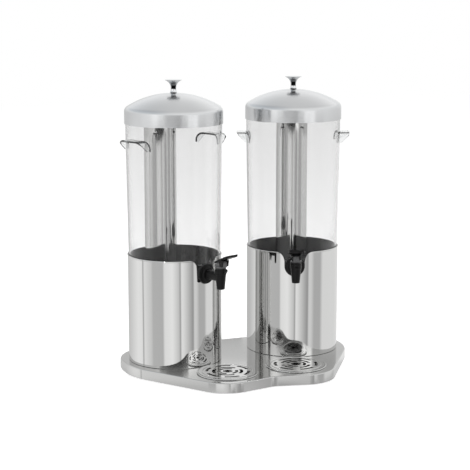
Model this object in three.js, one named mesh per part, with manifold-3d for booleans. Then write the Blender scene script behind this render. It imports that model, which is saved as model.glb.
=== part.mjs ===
// A twin cold drinks dispenser: two clear tanks stand in polished sleeves on one shared base tray.
// Millimetres, +Z up, front towards -Y, origin under the middle of the base at table level.
// Each side is built about its own tank axis, with its tap pointing along -Y, and then turned and placed.
import * as THREE from "three";
import { mergeVertices } from "three/addons/utils/BufferGeometryUtils.js";
import Module from "manifold-3d";

// Fits and drawing steps
const gap = 0.3;
const cutOverrun = 5;
const roundSteps = 32;
const smallSteps = 16;
const arcSteps = 4;
const slotSteps = 3;
const shoulderSteps = 2;
const domeSteps = 4;

// Where the two sides stand
const sleeveClearance = 72;
const tapTurn = THREE.MathUtils.degToRad(21);

// Sleeves
const sleeveRadius = 96;
const sleeveSheet = 1;
const sleeveHeight = 221;
const sleeveFootFlange = 9;
const sleeveLip = 1;
const sleeveLipHeight = 2.4;

// Base tray
const footStandoff = 2;
const baseHeight = 20;
const baseSheet = 1.5;
const baseEdgeRound = 2;
const hemHeight = 5;
const hemFold = 1;
const sideMargin = 14;
const backMargin = 10;
const sideCornerFront = 43;
const lobeFrontMargin = 25.6;
const lobeSideMargin = 38.3;
const valleyInset = 25;
const sideRound = 105;
const backRound = 90;
const lobeRound = 65;
const valleyRound = 40;

// Feet, as places measured in from the base's edges and the trays
const footTopRadius = 8;
const footTreadRadius = 7;
const frontFootClearance = 1.7;
const frontFootTurn = THREE.MathUtils.degToRad(35);
const sideFootInset = 34;
const sideFootFront = 20;
const backFootSideInset = 72;
const backFootBackInset = 22;

// Drip trays
const trayRadius = 62;
const traySleeveGap = 2;
const cupRimWidth = 7;
const cupSheet = 0.8;
const cupDepth = 15;
const cupRimRise = 2.2;
const cupSeatWidth = 2.6;
const gridSheet = 1.2;
const gridDrop = 1;
const gridCentreHole = 8;
const gridSlotWidth = 4.4;
const gridRings = [
  { reachShare: 0.313, count: 3, turnShare: 0 },
  { reachShare: 0.482, count: 4, turnShare: 0.5 },
  { reachShare: 0.719, count: 6, turnShare: 0 },
];
const gridSlotShare = 0.68;

// Tanks
const tankWall = 3;
const tankFloor = 4;
const tankPlay = 1.7;
const tankFootRound = 5;
const tankRimRound = 1.5;
const shelfWidth = 10.7;
const shelfLeg = 12;
const shelfSheet = 1.2;

// Lids
const lidOverhang = 4;
const lidSheet = 1;
const lidPlay = 0.6;
const lidSkirtBottom = 509.7;
const lidRise = 61;
const domeRadius = 180;
const shoulderRound = 12;
const lidHole = 3.2;

// Knobs, as heights above the dome's top
const knobHeight = 27;
const knobBaseRadius = 7.2;
const knobBaseHeight = 1.2;
const knobWaistRadius = 5.6;
const knobWaistHeight = 10.5;
const knobDiscRadius = 17;
const knobDiscHeight = 25.2;
const knobDiscEdge = 1;
const knobScrewRadius = 2.5;
const knobScrewReach = 12;
const knobScrewHeadRadius = 5;
const knobScrewHeadHeight = 3;

// Ice tubes and what holds them under the lids
const tubeRadius = 33;
const tubeSheet = 1;
const tubeWallClearance = 13.6;
const tubeFloorClearance = 8;
const tubePlugHeight = 4;
const holderLidClearance = 0.9;
const holderSkirt = 14;
const holderSheet = 1.4;
const holderBossRadius = 11;

// Handles, as moulded ears at right angles to the tap
const handleStandoff = 21.5;
const handleArc = 150;
const handleHalfWidth = 36;
const handleThickness = 3.5;
const handleBelowLid = 27.2;
const handleDrop = 20.5;
const handleCorner = 16;

// Taps, as reaches from the tank axis and heights from the table
const tapDrop = 29;
const shelfDrop = 30;
const spoutStandoff = 44;
const shankRadius = 10;
const shankBore = 6;
const shankPlay = 0.5;
const gasketRadius = 20;
const gasketThickness = 3;
const flangeThickness = 3;
const flangeCone = 4;
const innerGasketRadius = 17;
const innerGasketThickness = 3.2;
const nutRadius = 18;
const nutThickness = 7;
const shankTail = 3;
const spoutDrop = 25;
const spoutTipRadius = 8;
const spoutTipRound = 1;
const spoutBore = 6;
const seatDrop = 7;
const chamberRadius = 8.5;
const collarDrop = 5;
const collarRise = 16;
const collarRadius = 11.5;
const barrelRadius = 10.75;
const lugHalfWidth = 3;
const lugReach = 14.5;
const lugHeight = 7;
const lugRise = 2;

// Tap valve
const plugRadius = 7.6;
const plugSeatRadius = 7;
const plugNeckRadius = 5;
const plugHeight = 8.2;
const plugSeatHeight = 2;
const stemRadius = 2;
const stemHeadRadius = 3.8;
const stemHeadThickness = 1.6;
const springInner = 3;
const springOuter = 4.6;
const sealRadius = 10.5;
const sealThickness = 2;
const bonnetDiscRadius = 11.2;
const bonnetDiscThickness = 2.4;
const bonnetHalfWidth = 6;
const bonnetBack = 11;
const bonnetBackDrop = 4.2;
const bonnetEar = 3.4;

// Tap lever, as reaches from the spout axis and heights above the tap axis
const leverPinReach = 9;
const leverPinRise = 29.5;
const leverPinRadius = 1.3;
const leverTravel = THREE.MathUtils.degToRad(20);
const leverTail = { reach: -9.5, rise: 28.7, thickness: 3.8 };
const leverHub = { reach: 1, rise: 33.2, thickness: 4.8 };
const leverBend = { reach: 18, rise: 40.2, thickness: 4.6 };
const leverTip = { reach: 36.5, rise: 47.2, thickness: 4.4 };
const leverHalfWidth = 8.5;
const leverPaddleHalfWidth = 15.5;
const leverFlareStart = 12;
const leverFlareEnd = 24;
const leverCorner = 6;
const leverSlotHalfWidth = 2.4;
const leverSlotBack = 4.3;
const leverSlotFront = 2.5;
const leverPocketHalfWidth = 4.3;
const leverPocketBack = 6.1;
const leverPocketFront = 4.3;
const leverPocketRise = 32.7;
const leverCheekBack = 5.5;
const leverCheekFront = 6.5;
const leverCheekDrop = 7.2;
const leverCheekTaper = 2;

// Notch in the sleeve for the tap
const notchClearance = 1;
const notchFlare = 16;
const notchFlareHeight = 21;

// Heights and reaches that follow from the sizes above
const baseTop = footStandoff + baseHeight;
const cupWallRadius = trayRadius - cupRimWidth;
const sleeveTop = baseTop + sleeveHeight;
const tapHeight = sleeveTop - tapDrop;
const shelfTop = tapHeight - shelfDrop;
const tankBottom = shelfTop + gap;
const tankFloorTop = tankBottom + tankFloor;
const tankFootRadius = sleeveRadius - sleeveSheet - tankPlay;
const tubeSetback = tankFootRadius - tankWall - tubeWallClearance - tubeRadius;
const lidRadius = sleeveRadius + lidOverhang;
const tankRimRadius = lidRadius - lidSheet - lidPlay;
const lidTop = lidSkirtBottom + lidRise;
const tankSpacing = 2 * sleeveRadius + sleeveClearance;
const handleReach = sleeveRadius + handleStandoff;
const handleTop = lidSkirtBottom - handleBelowLid;
const trayReach = sleeveRadius + traySleeveGap + trayRadius;
const trayOut = tankSpacing / 2 - trayReach * Math.sin(tapTurn);
const trayFront = trayReach * Math.cos(tapTurn);
const spoutReach = sleeveRadius + spoutStandoff;
const spoutBottom = tapHeight - spoutDrop;
const seatHeight = tapHeight - seatDrop;
const bodyTop = tapHeight + collarRise;
const plugBottom = seatHeight + gap;
const plugTop = plugBottom + plugHeight;
const sealBottom = bodyTop + gap;
const bonnetBottom = sealBottom + sealThickness + gap;
const bonnetDiscTop = bonnetBottom + bonnetDiscThickness;
const pinReach = spoutReach + leverPinReach;
const pinHeight = tapHeight + leverPinRise;

// The dome's centre of curvature and its shoulder, seen in the half plane of the lathe
const domeCentre = lidRise - domeRadius;
const shoulderReach = lidRadius - shoulderRound;
const shoulderHeight = domeCentre + Math.sqrt((domeRadius - shoulderRound) ** 2 - shoulderReach ** 2);

// The half section of a lid at a depth inside its outer skin, from the skirt to the middle hole.
function lidSkin(depth) {
  const shoulder = shoulderRound - depth;
  const dome = domeRadius - depth;
  const meet = Math.atan2(shoulderHeight - domeCentre, shoulderReach);
  const holeAngle = Math.acos(lidHole / dome);
  return [
    [lidRadius - depth, 0],
    ...arcPoints(shoulderReach, shoulderHeight, shoulder, 0, meet, shoulderSteps),
    ...arcPoints(0, domeCentre, dome, meet, holeAngle, domeSteps).slice(1),
  ].map(([reach, height]) => [reach, lidSkirtBottom + height]);
}

// The height of the lid's inside over a reach from its axis.
function lidInsideAt(reach) {
  const skin = lidSkin(lidSheet);
  const next = skin.findIndex(([skinReach]) => skinReach <= reach);
  const [farReach, farHeight] = skin[next - 1];
  const [nearReach, nearHeight] = skin[next];
  return farHeight + ((nearHeight - farHeight) * (farReach - reach)) / (farReach - nearReach);
}

// The tank's rim stands just under the lid's shoulder, which rests on it.
const rimEdgeLimit = lidInsideAt(tankRimRadius) + tankRimRound;
const rimTopLimit = lidInsideAt(tankRimRadius - tankRimRound);
const tankRimTop = Math.min(rimEdgeLimit, rimTopLimit) - gap;
const tankDraft = (tankRimRadius - tankFootRadius) / (tankRimTop - tankBottom);

const wasm = await Module();
wasm.setup();

// A closed geometry as a solid that can be joined and cut.
function solidOf(geometry) {
  const bare = geometry.clone();
  bare.deleteAttribute("normal");
  bare.deleteAttribute("uv");
  const merged = mergeVertices(bare, gap / 1000);
  const corners = [];
  for (let i = 0; i < merged.index.count; i += 3) {
    const [a, b, c] = [merged.index.getX(i), merged.index.getX(i + 1), merged.index.getX(i + 2)];
    if (a !== b && b !== c && c !== a) corners.push(a, b, c);
  }
  return new wasm.Manifold(
    new wasm.Mesh({
      numProp: 3,
      vertProperties: new Float32Array(merged.attributes.position.array),
      triVerts: new Uint32Array(corners),
    }),
  );
}

// A solid back as a geometry with flat shaded faces.
function geometryOf(solid) {
  const mesh = solid.getMesh();
  const indexed = new THREE.BufferGeometry();
  indexed.setAttribute("position", new THREE.BufferAttribute(new Float32Array(mesh.vertProperties), 3));
  indexed.setIndex(new THREE.BufferAttribute(new Uint32Array(mesh.triVerts), 1));
  const flat = indexed.toNonIndexed();
  flat.computeVertexNormals();
  return flat;
}

// A turned solid about +Z from reach and height pairs, which close on themselves or run axis to axis.
function turned(profile, steps = roundSteps) {
  const loop = profile[0][0] === 0 ? profile : [...profile, profile[0]];
  let area = 0;
  loop.forEach(([reach, height], i) => {
    const [nextReach, nextHeight] = loop[(i + 1) % loop.length];
    area += reach * nextHeight - nextReach * height;
  });
  const ordered = area > 0 ? loop : [...loop].reverse();
  const lathe = new THREE.LatheGeometry(
    ordered.map(([reach, height]) => new THREE.Vector2(reach, height)),
    steps,
  );
  return solidOf(lathe.rotateX(Math.PI / 2));
}

// A solid rod along the way out of the tank, at a height and a sideways place.
function outRod(radius, from, to, height, steps = smallSteps, endRadius = radius) {
  const rod = new THREE.CylinderGeometry(endRadius, radius, to - from, steps);
  rod.rotateY(Math.PI / steps);
  rod.rotateX(Math.PI);
  return solidOf(rod.translate(0, -(from + to) / 2, height));
}

// A flat shape drawn in x and y, raised from one height to another.
function raised(shape, from, to, steps = arcSteps) {
  const geometry = new THREE.ExtrudeGeometry(shape, {
    depth: to - from,
    bevelEnabled: false,
    curveSegments: steps,
  });
  return solidOf(geometry.translate(0, 0, from));
}

// A side view drawn as way out and height, made as wide as twice the half width.
function sideways(shape, halfWidth, steps = arcSteps) {
  const geometry = new THREE.ExtrudeGeometry(shape, {
    depth: 2 * halfWidth,
    bevelEnabled: false,
    curveSegments: steps,
  });
  geometry.translate(0, 0, -halfWidth);
  const turn = new THREE.Matrix4().makeBasis(
    new THREE.Vector3(0, -1, 0),
    new THREE.Vector3(0, 0, 1),
    new THREE.Vector3(-1, 0, 0),
  );
  return solidOf(geometry.applyMatrix4(turn));
}

// A front view drawn as sideways place and height, run along the way out of the tank.
function outwards(shape, from, to, steps = arcSteps) {
  const geometry = new THREE.ExtrudeGeometry(shape, {
    depth: to - from,
    bevelEnabled: false,
    curveSegments: steps,
  });
  const turn = new THREE.Matrix4().makeBasis(
    new THREE.Vector3(1, 0, 0),
    new THREE.Vector3(0, 0, 1),
    new THREE.Vector3(0, -1, 0),
  );
  geometry.applyMatrix4(turn);
  return solidOf(geometry.translate(0, -from, 0));
}

function shapeFrom(points) {
  return new THREE.Shape(points.map(([x, y]) => new THREE.Vector2(x, y)));
}

// Points along a round stretch about a centre.
function arcPoints(centreX, centreY, radius, fromAngle, toAngle, steps = arcSteps) {
  return Array.from({ length: steps + 1 }, (_, i) => {
    const angle = fromAngle + ((toAngle - fromAngle) * i) / steps;
    return [centreX + radius * Math.cos(angle), centreY + radius * Math.sin(angle)];
  });
}

// The base tray's outline as a ring of corners with rounds, drawn inwards by an inset.
const lobeFront = trayFront + trayRadius + lobeFrontMargin;
const valleyFront = lobeFront - valleyInset;
const lobeOut = trayOut + lobeSideMargin;
const sideReach = tankSpacing / 2 + sleeveRadius + sideMargin;
const backReach = sleeveRadius + backMargin;
const baseCorners = [
  { x: 0, y: -valleyFront, round: valleyRound },
  { x: lobeOut, y: -lobeFront, round: lobeRound },
  { x: sideReach, y: -sideCornerFront, round: sideRound },
  { x: sideReach, y: backReach, round: backRound },
  { x: -sideReach, y: backReach, round: backRound },
  { x: -sideReach, y: -sideCornerFront, round: sideRound },
  { x: -lobeOut, y: -lobeFront, round: lobeRound },
];

function baseOutline(inset) {
  const points = [];
  baseCorners.forEach((corner, i) => {
    const before = baseCorners[(i + baseCorners.length - 1) % baseCorners.length];
    const after = baseCorners[(i + 1) % baseCorners.length];
    const here = new THREE.Vector2(corner.x, corner.y);
    const arriving = here.clone().sub(new THREE.Vector2(before.x, before.y)).normalize();
    const leaving = new THREE.Vector2(after.x, after.y).sub(here).normalize();
    const turn = Math.atan2(arriving.cross(leaving), arriving.dot(leaving));
    const side = Math.sign(turn);
    const inward = new THREE.Vector2(-arriving.y - leaving.y, arriving.x + leaving.x);
    inward.divideScalar(1 + arriving.dot(leaving));
    const moved = here.clone().addScaledVector(inward, inset);
    const radius = corner.round - side * inset;
    const centre = moved.clone().addScaledVector(inward, side * radius);
    const start = Math.atan2(-side * arriving.x, side * arriving.y);
    points.push(...arcPoints(centre.x, centre.y, radius, start, start + turn));
  });
  return points;
}

const baseFrontmost = Math.max(...baseOutline(0).map(([, y]) => -y));
const axisSetback = (baseFrontmost - backReach) / 2;

function baseSlab() {
  const reach = sideReach + cutOverrun;
  return shapeFrom([
    [-reach, -lobeFront],
    [reach, -lobeFront],
    [reach, backReach + cutOverrun],
    [-reach, backReach + cutOverrun],
  ]);
}

// One pressed sheet: a flat top, a skirt with a folded hem, and a hole for each drip cup.
function baseShell() {
  const rounded = new THREE.ExtrudeGeometry(shapeFrom(baseOutline(0)), {
    depth: baseHeight,
    bevelEnabled: true,
    bevelThickness: baseEdgeRound,
    bevelSize: baseEdgeRound,
    bevelOffset: -baseEdgeRound,
    bevelSegments: 2,
  });
  rounded.translate(0, 0, footStandoff - baseEdgeRound);
  const tableSlab = raised(baseSlab(), footStandoff - 2 * cutOverrun, footStandoff);
  const hollow = raised(shapeFrom(baseOutline(baseSheet)), footStandoff + hemHeight, baseTop - baseSheet);
  const mouth = raised(shapeFrom(baseOutline(baseSheet + hemFold)), footStandoff - cutOverrun, baseTop / 2);
  let shell = solidOf(rounded).subtract(tableSlab).subtract(hollow).subtract(mouth);
  for (const side of [-1, 1]) {
    const hole = new THREE.CylinderGeometry(cupWallRadius + gap, cupWallRadius + gap, baseHeight, roundSteps);
    hole.rotateX(Math.PI / 2);
    hole.rotateZ(-side * tapTurn);
    hole.translate(side * trayOut, -trayFront, baseTop);
    shell = shell.subtract(solidOf(hole));
  }
  return shell;
}

function rubberFoot() {
  const top = baseTop - baseSheet - gap;
  return turned(
    [
      [0, 0],
      [footTreadRadius, 0],
      [footTopRadius, footStandoff],
      [footTopRadius, top],
      [0, top],
    ],
    smallSteps,
  );
}

// Rolled sheet with a turned-in foot flange, a small bead at the top and a notch for the tap.
function sleeve() {
  const foot = baseTop + gap;
  const inner = sleeveRadius - sleeveSheet;
  const lip = sleeveRadius + sleeveLip;
  const tube = turned([
    [inner - sleeveFootFlange, foot],
    [sleeveRadius, foot],
    [sleeveRadius, sleeveTop - sleeveLipHeight],
    [lip, sleeveTop - sleeveLipHeight / 2],
    [lip, sleeveTop - sleeveLip / 2],
    [sleeveRadius, sleeveTop],
    [inner, sleeveTop],
    [inner, foot + sleeveSheet],
    [inner - sleeveFootFlange, foot + sleeveSheet],
  ]);
  const half = gasketRadius + notchClearance;
  const flareFoot = sleeveTop - notchFlareHeight;
  const wide = half + notchFlare;
  const right = Array.from({ length: arcSteps + 1 }, (_, i) => {
    const angle = Math.PI / 2 + (i / arcSteps) * (Math.PI / 2);
    return [wide + notchFlare * Math.cos(angle), flareFoot + notchFlareHeight * Math.sin(angle)];
  });
  const left = right.map(([x, z]) => [-x, z]).reverse();
  const under = arcPoints(0, tapHeight, half, 0, -Math.PI, 2 * arcSteps);
  const notch = shapeFrom([
    [wide, sleeveTop + cutOverrun],
    ...right,
    ...under,
    ...left,
    [-wide, sleeveTop + cutOverrun],
  ]);
  return tube.subtract(outwards(notch, sleeveRadius / 2, sleeveRadius + 2 * cutOverrun));
}

// An angle ring fixed inside the sleeve, which carries the tank.
function tankShelf() {
  const outer = sleeveRadius - sleeveSheet - gap;
  return turned([
    [outer - shelfWidth, shelfTop - shelfSheet],
    [outer - shelfSheet, shelfTop - shelfSheet],
    [outer - shelfSheet, shelfTop - shelfLeg],
    [outer, shelfTop - shelfLeg],
    [outer, shelfTop],
    [outer - shelfWidth, shelfTop],
  ]);
}

function tankRadiusAt(height) {
  return tankFootRadius + (height - tankBottom) * tankDraft;
}

// The tank's wall as a plain tapered solid, grown or shrunk by a distance.
function tankCone(grow) {
  const low = tankBottom - cutOverrun;
  const high = tankRimTop + cutOverrun;
  return turned([
    [0, low],
    [tankRadiusAt(low) + grow, low],
    [tankRadiusAt(high) + grow, high],
    [0, high],
  ]);
}

// A clear moulded tank with a flat floor and a hole low in its wall for the tap.
function tank() {
  const innerFloorRadius = tankRadiusAt(tankFloorTop) - tankWall;
  const half = tankFootRound / 2;
  const body = turned([
    [0, tankBottom],
    [tankFootRadius - tankFootRound, tankBottom],
    [tankFootRadius - tankFootRound / 4, tankBottom + half / 2],
    [tankRadiusAt(tankBottom + tankFootRound), tankBottom + tankFootRound],
    [tankRimRadius, tankRimTop - tankRimRound],
    [tankRimRadius - tankRimRound, tankRimTop],
    [tankRimRadius - tankWall, tankRimTop],
    [tankRadiusAt(tankFloorTop + half) - tankWall, tankFloorTop + half],
    [innerFloorRadius - half, tankFloorTop],
    [0, tankFloorTop],
  ]);
  const hole = outRod(shankRadius + shankPlay, tankFootRadius / 2, sleeveRadius + cutOverrun, tapHeight);
  return body.subtract(hole);
}

// A moulded ear: a flat bar turned down at its ends, round in plan, standing off the tank's wall.
function handle() {
  const arch = (halfWidth, top, corner) => [
    [-halfWidth, handleTop - handleDrop],
    ...arcPoints(-halfWidth + corner, top - corner, corner, Math.PI, Math.PI / 2),
    ...arcPoints(halfWidth - corner, top - corner, corner, Math.PI / 2, 0),
    [halfWidth, handleTop - handleDrop],
  ];
  const outer = arch(handleHalfWidth, handleTop, handleCorner);
  const inner = arch(
    handleHalfWidth - handleThickness,
    handleTop - handleThickness,
    handleCorner - handleThickness,
  );
  const bar = outwards(shapeFrom([...outer, ...inner.reverse()]), handleReach / 2, handleReach + cutOverrun);
  const plan = new THREE.CylinderGeometry(handleArc, handleArc, 2 * handleDrop, roundSteps);
  plan.rotateX(Math.PI / 2);
  plan.translate(0, handleArc - handleReach, handleTop - handleDrop);
  return bar.intersect(solidOf(plan)).subtract(tankCone(gap));
}

function lidShell() {
  return turned([...lidSkin(0), ...lidSkin(lidSheet).reverse()]);
}

// A turned hourglass knob, screwed on from under the lid.
function lidKnob() {
  const foot = lidTop + gap;
  const bore = knobScrewRadius + gap;
  const flareHeight = knobDiscHeight - knobWaistHeight;
  const flareReach = knobDiscRadius - knobWaistRadius;
  const flareShares = [
    [0.27, 0.06],
    [0.54, 0.22],
    [0.8, 0.51],
    [1, 1],
  ];
  return turned(
    [
      [0, foot + knobScrewReach],
      [bore, foot + knobScrewReach],
      [bore, foot],
      [knobBaseRadius, foot],
      [knobBaseRadius, foot + knobBaseHeight],
      [knobWaistRadius, foot + knobWaistHeight],
      ...flareShares.map(([rise, out]) => [
        knobWaistRadius + out * flareReach,
        foot + knobWaistHeight + rise * flareHeight,
      ]),
      [knobDiscRadius, foot + knobDiscHeight + knobDiscEdge],
      [0, foot + knobHeight],
    ],
    smallSteps,
  );
}

// A bracket screwed under the lid's middle. Its cup takes the mouth of the ice tube, which hangs behind the
// middle, away from the tap.
const holderInner = tubeRadius + gap;
const holderOuter = holderInner + holderSheet;
const holderTop = lidInsideAt(tubeSetback + holderOuter) - holderLidClearance;

function behindMiddle(solid) {
  return solid.translate([0, tubeSetback, 0]);
}

function tubeHolder() {
  const bossTop = lidInsideAt(holderBossRadius) - gap;
  const cup = turned([
    [0, holderTop - holderSheet],
    [holderInner, holderTop - holderSheet],
    [holderInner, holderTop - holderSkirt],
    [holderOuter, holderTop - holderSkirt],
    [holderOuter, holderTop],
    [0, holderTop],
  ]);
  const boss = turned(
    [
      [0, holderTop - holderSheet],
      [holderBossRadius, holderTop - holderSheet],
      [holderBossRadius, bossTop],
      [0, bossTop],
    ],
    smallSteps,
  );
  const arm = raised(
    shapeFrom([
      [-holderBossRadius, 0],
      [holderBossRadius, 0],
      [holderBossRadius, tubeSetback],
      [-holderBossRadius, tubeSetback],
    ]),
    holderTop - holderSheet,
    holderTop,
  );
  const bore = turned(
    [
      [0, holderTop - cutOverrun],
      [knobScrewRadius + gap, holderTop - cutOverrun],
      [knobScrewRadius + gap, lidTop],
      [0, lidTop],
    ],
    smallSteps / 2,
  );
  return behindMiddle(cup).add(arm).add(boss).subtract(bore);
}

function knobScrew() {
  const head = holderTop - holderSheet - gap;
  return turned(
    [
      [0, head - knobScrewHeadHeight],
      [knobScrewHeadRadius, head - knobScrewHeadHeight],
      [knobScrewHeadRadius, head],
      [knobScrewRadius, head],
      [knobScrewRadius, lidTop + knobScrewReach - gap],
      [0, lidTop + knobScrewReach - gap],
    ],
    smallSteps / 2,
  );
}

// A thin tube that hangs in the drink and holds ice, shut below by a plug.
const tubeBottom = tankFloorTop + tubeFloorClearance;

function iceTube() {
  const top = holderTop - holderSheet - gap;
  return behindMiddle(
    turned([
      [tubeRadius - tubeSheet, tubeBottom],
      [tubeRadius, tubeBottom],
      [tubeRadius, top],
      [tubeRadius - tubeSheet, top],
    ]),
  );
}

function tubePlug() {
  const radius = tubeRadius - tubeSheet - gap;
  const dish = tubePlugHeight / 2;
  return behindMiddle(
    turned([
      [0, tubeBottom],
      [radius - dish, tubeBottom],
      [radius, tubeBottom + dish],
      [radius, tubeBottom + tubePlugHeight],
      [0, tubeBottom + tubePlugHeight],
    ]),
  );
}

// A spun dish that drops into the base's hole and hangs there by its rim.
const cupRim = baseTop + gap;
const cupSeat = cupRim + cupSheet;

function dripCup() {
  const bottom = baseTop - cupDepth;
  const step = cupSheet + gap;
  const inside = cupWallRadius - cupSheet;
  const rimInner = trayRadius - cupSeatWidth;
  return turned([
    [0, bottom],
    [cupWallRadius - cupDepth / 2, bottom],
    [cupWallRadius, cupRim - cupDepth / 2],
    [cupWallRadius, cupRim],
    [trayRadius, cupRim],
    [trayRadius, cupRim + cupRimRise - cupSheet],
    [trayRadius - step, cupRim + cupRimRise],
    [rimInner, cupRim + cupRimRise],
    [rimInner, cupSeat],
    [inside, cupSeat],
    [inside, cupRim - cupDepth / 2],
    [inside - cupDepth / 2, bottom + cupSheet],
    [0, bottom + cupSheet],
  ]);
}

// A flat plate with rings of curved slots, lying inside the cup's rim.
const gridBottom = cupSeat + gap;
const gridRadius = trayRadius - cupSeatWidth - gap;

function dripGrid() {
  const plate = new THREE.Shape();
  plate.absarc(0, 0, gridRadius, 0, 2 * Math.PI, false);
  const middle = new THREE.Path();
  middle.absarc(0, 0, gridCentreHole, 0, 2 * Math.PI, true);
  plate.holes.push(middle);
  for (const { reachShare, count, turnShare } of gridRings) {
    const radius = reachShare * gridRadius;
    const pitch = (2 * Math.PI) / count;
    const halfSlot = (pitch * gridSlotShare) / 2;
    for (let i = 0; i < count; i += 1) {
      const middleAngle = (i + turnShare) * pitch;
      const from = middleAngle - halfSlot;
      const to = middleAngle + halfSlot;
      const near = arcPoints(0, 0, radius - gridSlotWidth / 2, from, to, slotSteps);
      const far = arcPoints(0, 0, radius + gridSlotWidth / 2, to, from, slotSteps);
      plate.holes.push(new THREE.Path([...near, ...far].map(([x, y]) => new THREE.Vector2(x, y))));
    }
  }
  const top = gridBottom + gridSheet;
  const flat = raised(plate, gridBottom, top, smallSteps);
  const sunk = cupWallRadius - cupSheet - 2 * gap;
  const under = turned(
    [
      [sunk - gridSheet, gridBottom - gridDrop],
      [sunk, gridBottom - gridDrop],
      [sunk, gridBottom + gridSheet / 2],
      [sunk - gridSheet, gridBottom + gridSheet / 2],
    ],
    roundSteps / 2,
  );
  return flat.add(under);
}

// Tap pieces, from the nut inside the tank to the lever outside
const wallOut = tankRadiusAt(tapHeight);
const wallIn = wallOut - tankWall;
const gasketFace = wallOut + gasketThickness;
const flangeBack = gasketFace + gap;
const innerGasketFace = wallIn - innerGasketThickness;
const nutFace = innerGasketFace - gap;
const shankEnd = nutFace - nutThickness - shankTail;

function outerGasket() {
  const disc = outRod(gasketRadius, wallOut - 2 * gasketThickness, gasketFace, tapHeight);
  const hole = outRod(shankRadius + gap, wallIn, gasketFace + cutOverrun, tapHeight);
  return disc.subtract(tankCone(gap)).subtract(hole);
}

function innerGasket() {
  const disc = outRod(innerGasketRadius, innerGasketFace, wallOut, tapHeight);
  const hole = outRod(shankRadius + gap, innerGasketFace - cutOverrun, wallOut + cutOverrun, tapHeight);
  return disc.intersect(tankCone(-tankWall - gap)).subtract(hole);
}

function tapNut() {
  const nutEnd = nutFace - nutThickness;
  const hex = outRod(nutRadius, nutEnd, nutFace, tapHeight, 6);
  const hole = outRod(shankRadius + gap, nutEnd - cutOverrun, nutFace + cutOverrun, tapHeight);
  return hex.subtract(hole);
}

// Moves a solid turned about +Z out to the spout's axis.
function atSpout(solid) {
  return solid.translate([0, -spoutReach, 0]);
}

function tapBody() {
  const shank = outRod(shankRadius, shankEnd, spoutReach, tapHeight);
  const disc = outRod(gasketRadius, flangeBack, flangeBack + flangeThickness, tapHeight);
  const coneEnd = flangeBack + flangeThickness + flangeCone;
  const cone = outRod(
    gasketRadius,
    flangeBack + flangeThickness,
    coneEnd,
    tapHeight,
    smallSteps,
    shankRadius + flangeCone / 2,
  );
  const collarFoot = tapHeight + collarDrop;
  const barrel = turned(
    [
      [0, spoutBottom],
      [spoutTipRadius - spoutTipRound, spoutBottom],
      [spoutTipRadius, spoutBottom + spoutTipRound],
      [barrelRadius, collarFoot],
      [collarRadius, collarFoot],
      [collarRadius, bodyTop],
      [0, bodyTop],
    ],
    smallSteps,
  );
  const lug = sideways(
    shapeFrom([
      [spoutReach, bodyTop - lugHeight],
      [spoutReach + collarRadius, bodyTop - lugHeight],
      [spoutReach + lugReach, bodyTop - lugHeight / 2],
      [spoutReach + lugReach, bodyTop + lugRise],
      [spoutReach + bonnetDiscRadius + 2 * gap, bodyTop + lugRise],
      [spoutReach + bonnetDiscRadius + 2 * gap, bodyTop - gap],
      [spoutReach, bodyTop - gap],
    ]),
    lugHalfWidth,
  );
  const bores = turned(
    [
      [0, spoutBottom - cutOverrun],
      [spoutBore, spoutBottom - cutOverrun],
      [spoutBore, seatHeight],
      [chamberRadius, seatHeight],
      [chamberRadius, bodyTop + cutOverrun],
      [0, bodyTop + cutOverrun],
    ],
    smallSteps,
  );
  const shankHole = outRod(shankBore, shankEnd - cutOverrun, spoutReach, tapHeight);
  return shank.add(disc).add(cone).add(atSpout(barrel)).add(lug).subtract(atSpout(bores)).subtract(shankHole);
}

function seatPlug() {
  const socket = stemRadius + gap;
  const socketFloor = (plugBottom + plugTop) / 2;
  return atSpout(
    turned(
      [
        [0, plugBottom],
        [plugSeatRadius, plugBottom],
        [plugRadius, plugBottom + plugSeatHeight],
        [plugNeckRadius, plugTop],
        [socket, plugTop],
        [socket, socketFloor],
        [0, socketFloor],
      ],
      smallSteps,
    ),
  );
}

const headTop = tapHeight + leverHub.rise + leverHub.thickness / 2;

function tapStem() {
  const foot = (plugBottom + plugTop) / 2 + gap;
  return atSpout(
    turned(
      [
        [0, foot],
        [stemRadius, foot],
        [stemRadius, headTop - stemHeadThickness],
        [stemHeadRadius, headTop - stemHeadThickness],
        [stemHeadRadius, headTop],
        [0, headTop],
      ],
      smallSteps / 2,
    ),
  );
}

function tapSpring() {
  return atSpout(
    turned(
      [
        [springInner, plugTop + gap],
        [springOuter, plugTop + gap],
        [springOuter, bodyTop],
        [springInner, bodyTop],
      ],
      smallSteps / 2,
    ),
  );
}

function stemSeal() {
  const hole = stemRadius + gap;
  return atSpout(
    turned(
      [
        [hole, sealBottom],
        [sealRadius, sealBottom],
        [sealRadius, sealBottom + sealThickness],
        [hole, sealBottom + sealThickness],
      ],
      smallSteps,
    ),
  );
}

// The cap over the valve: a disc and a narrow block whose slanted top lies along the lever.
const leverSlant = Math.atan2(leverHub.rise - leverTail.rise, leverHub.reach - leverTail.reach);

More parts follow.
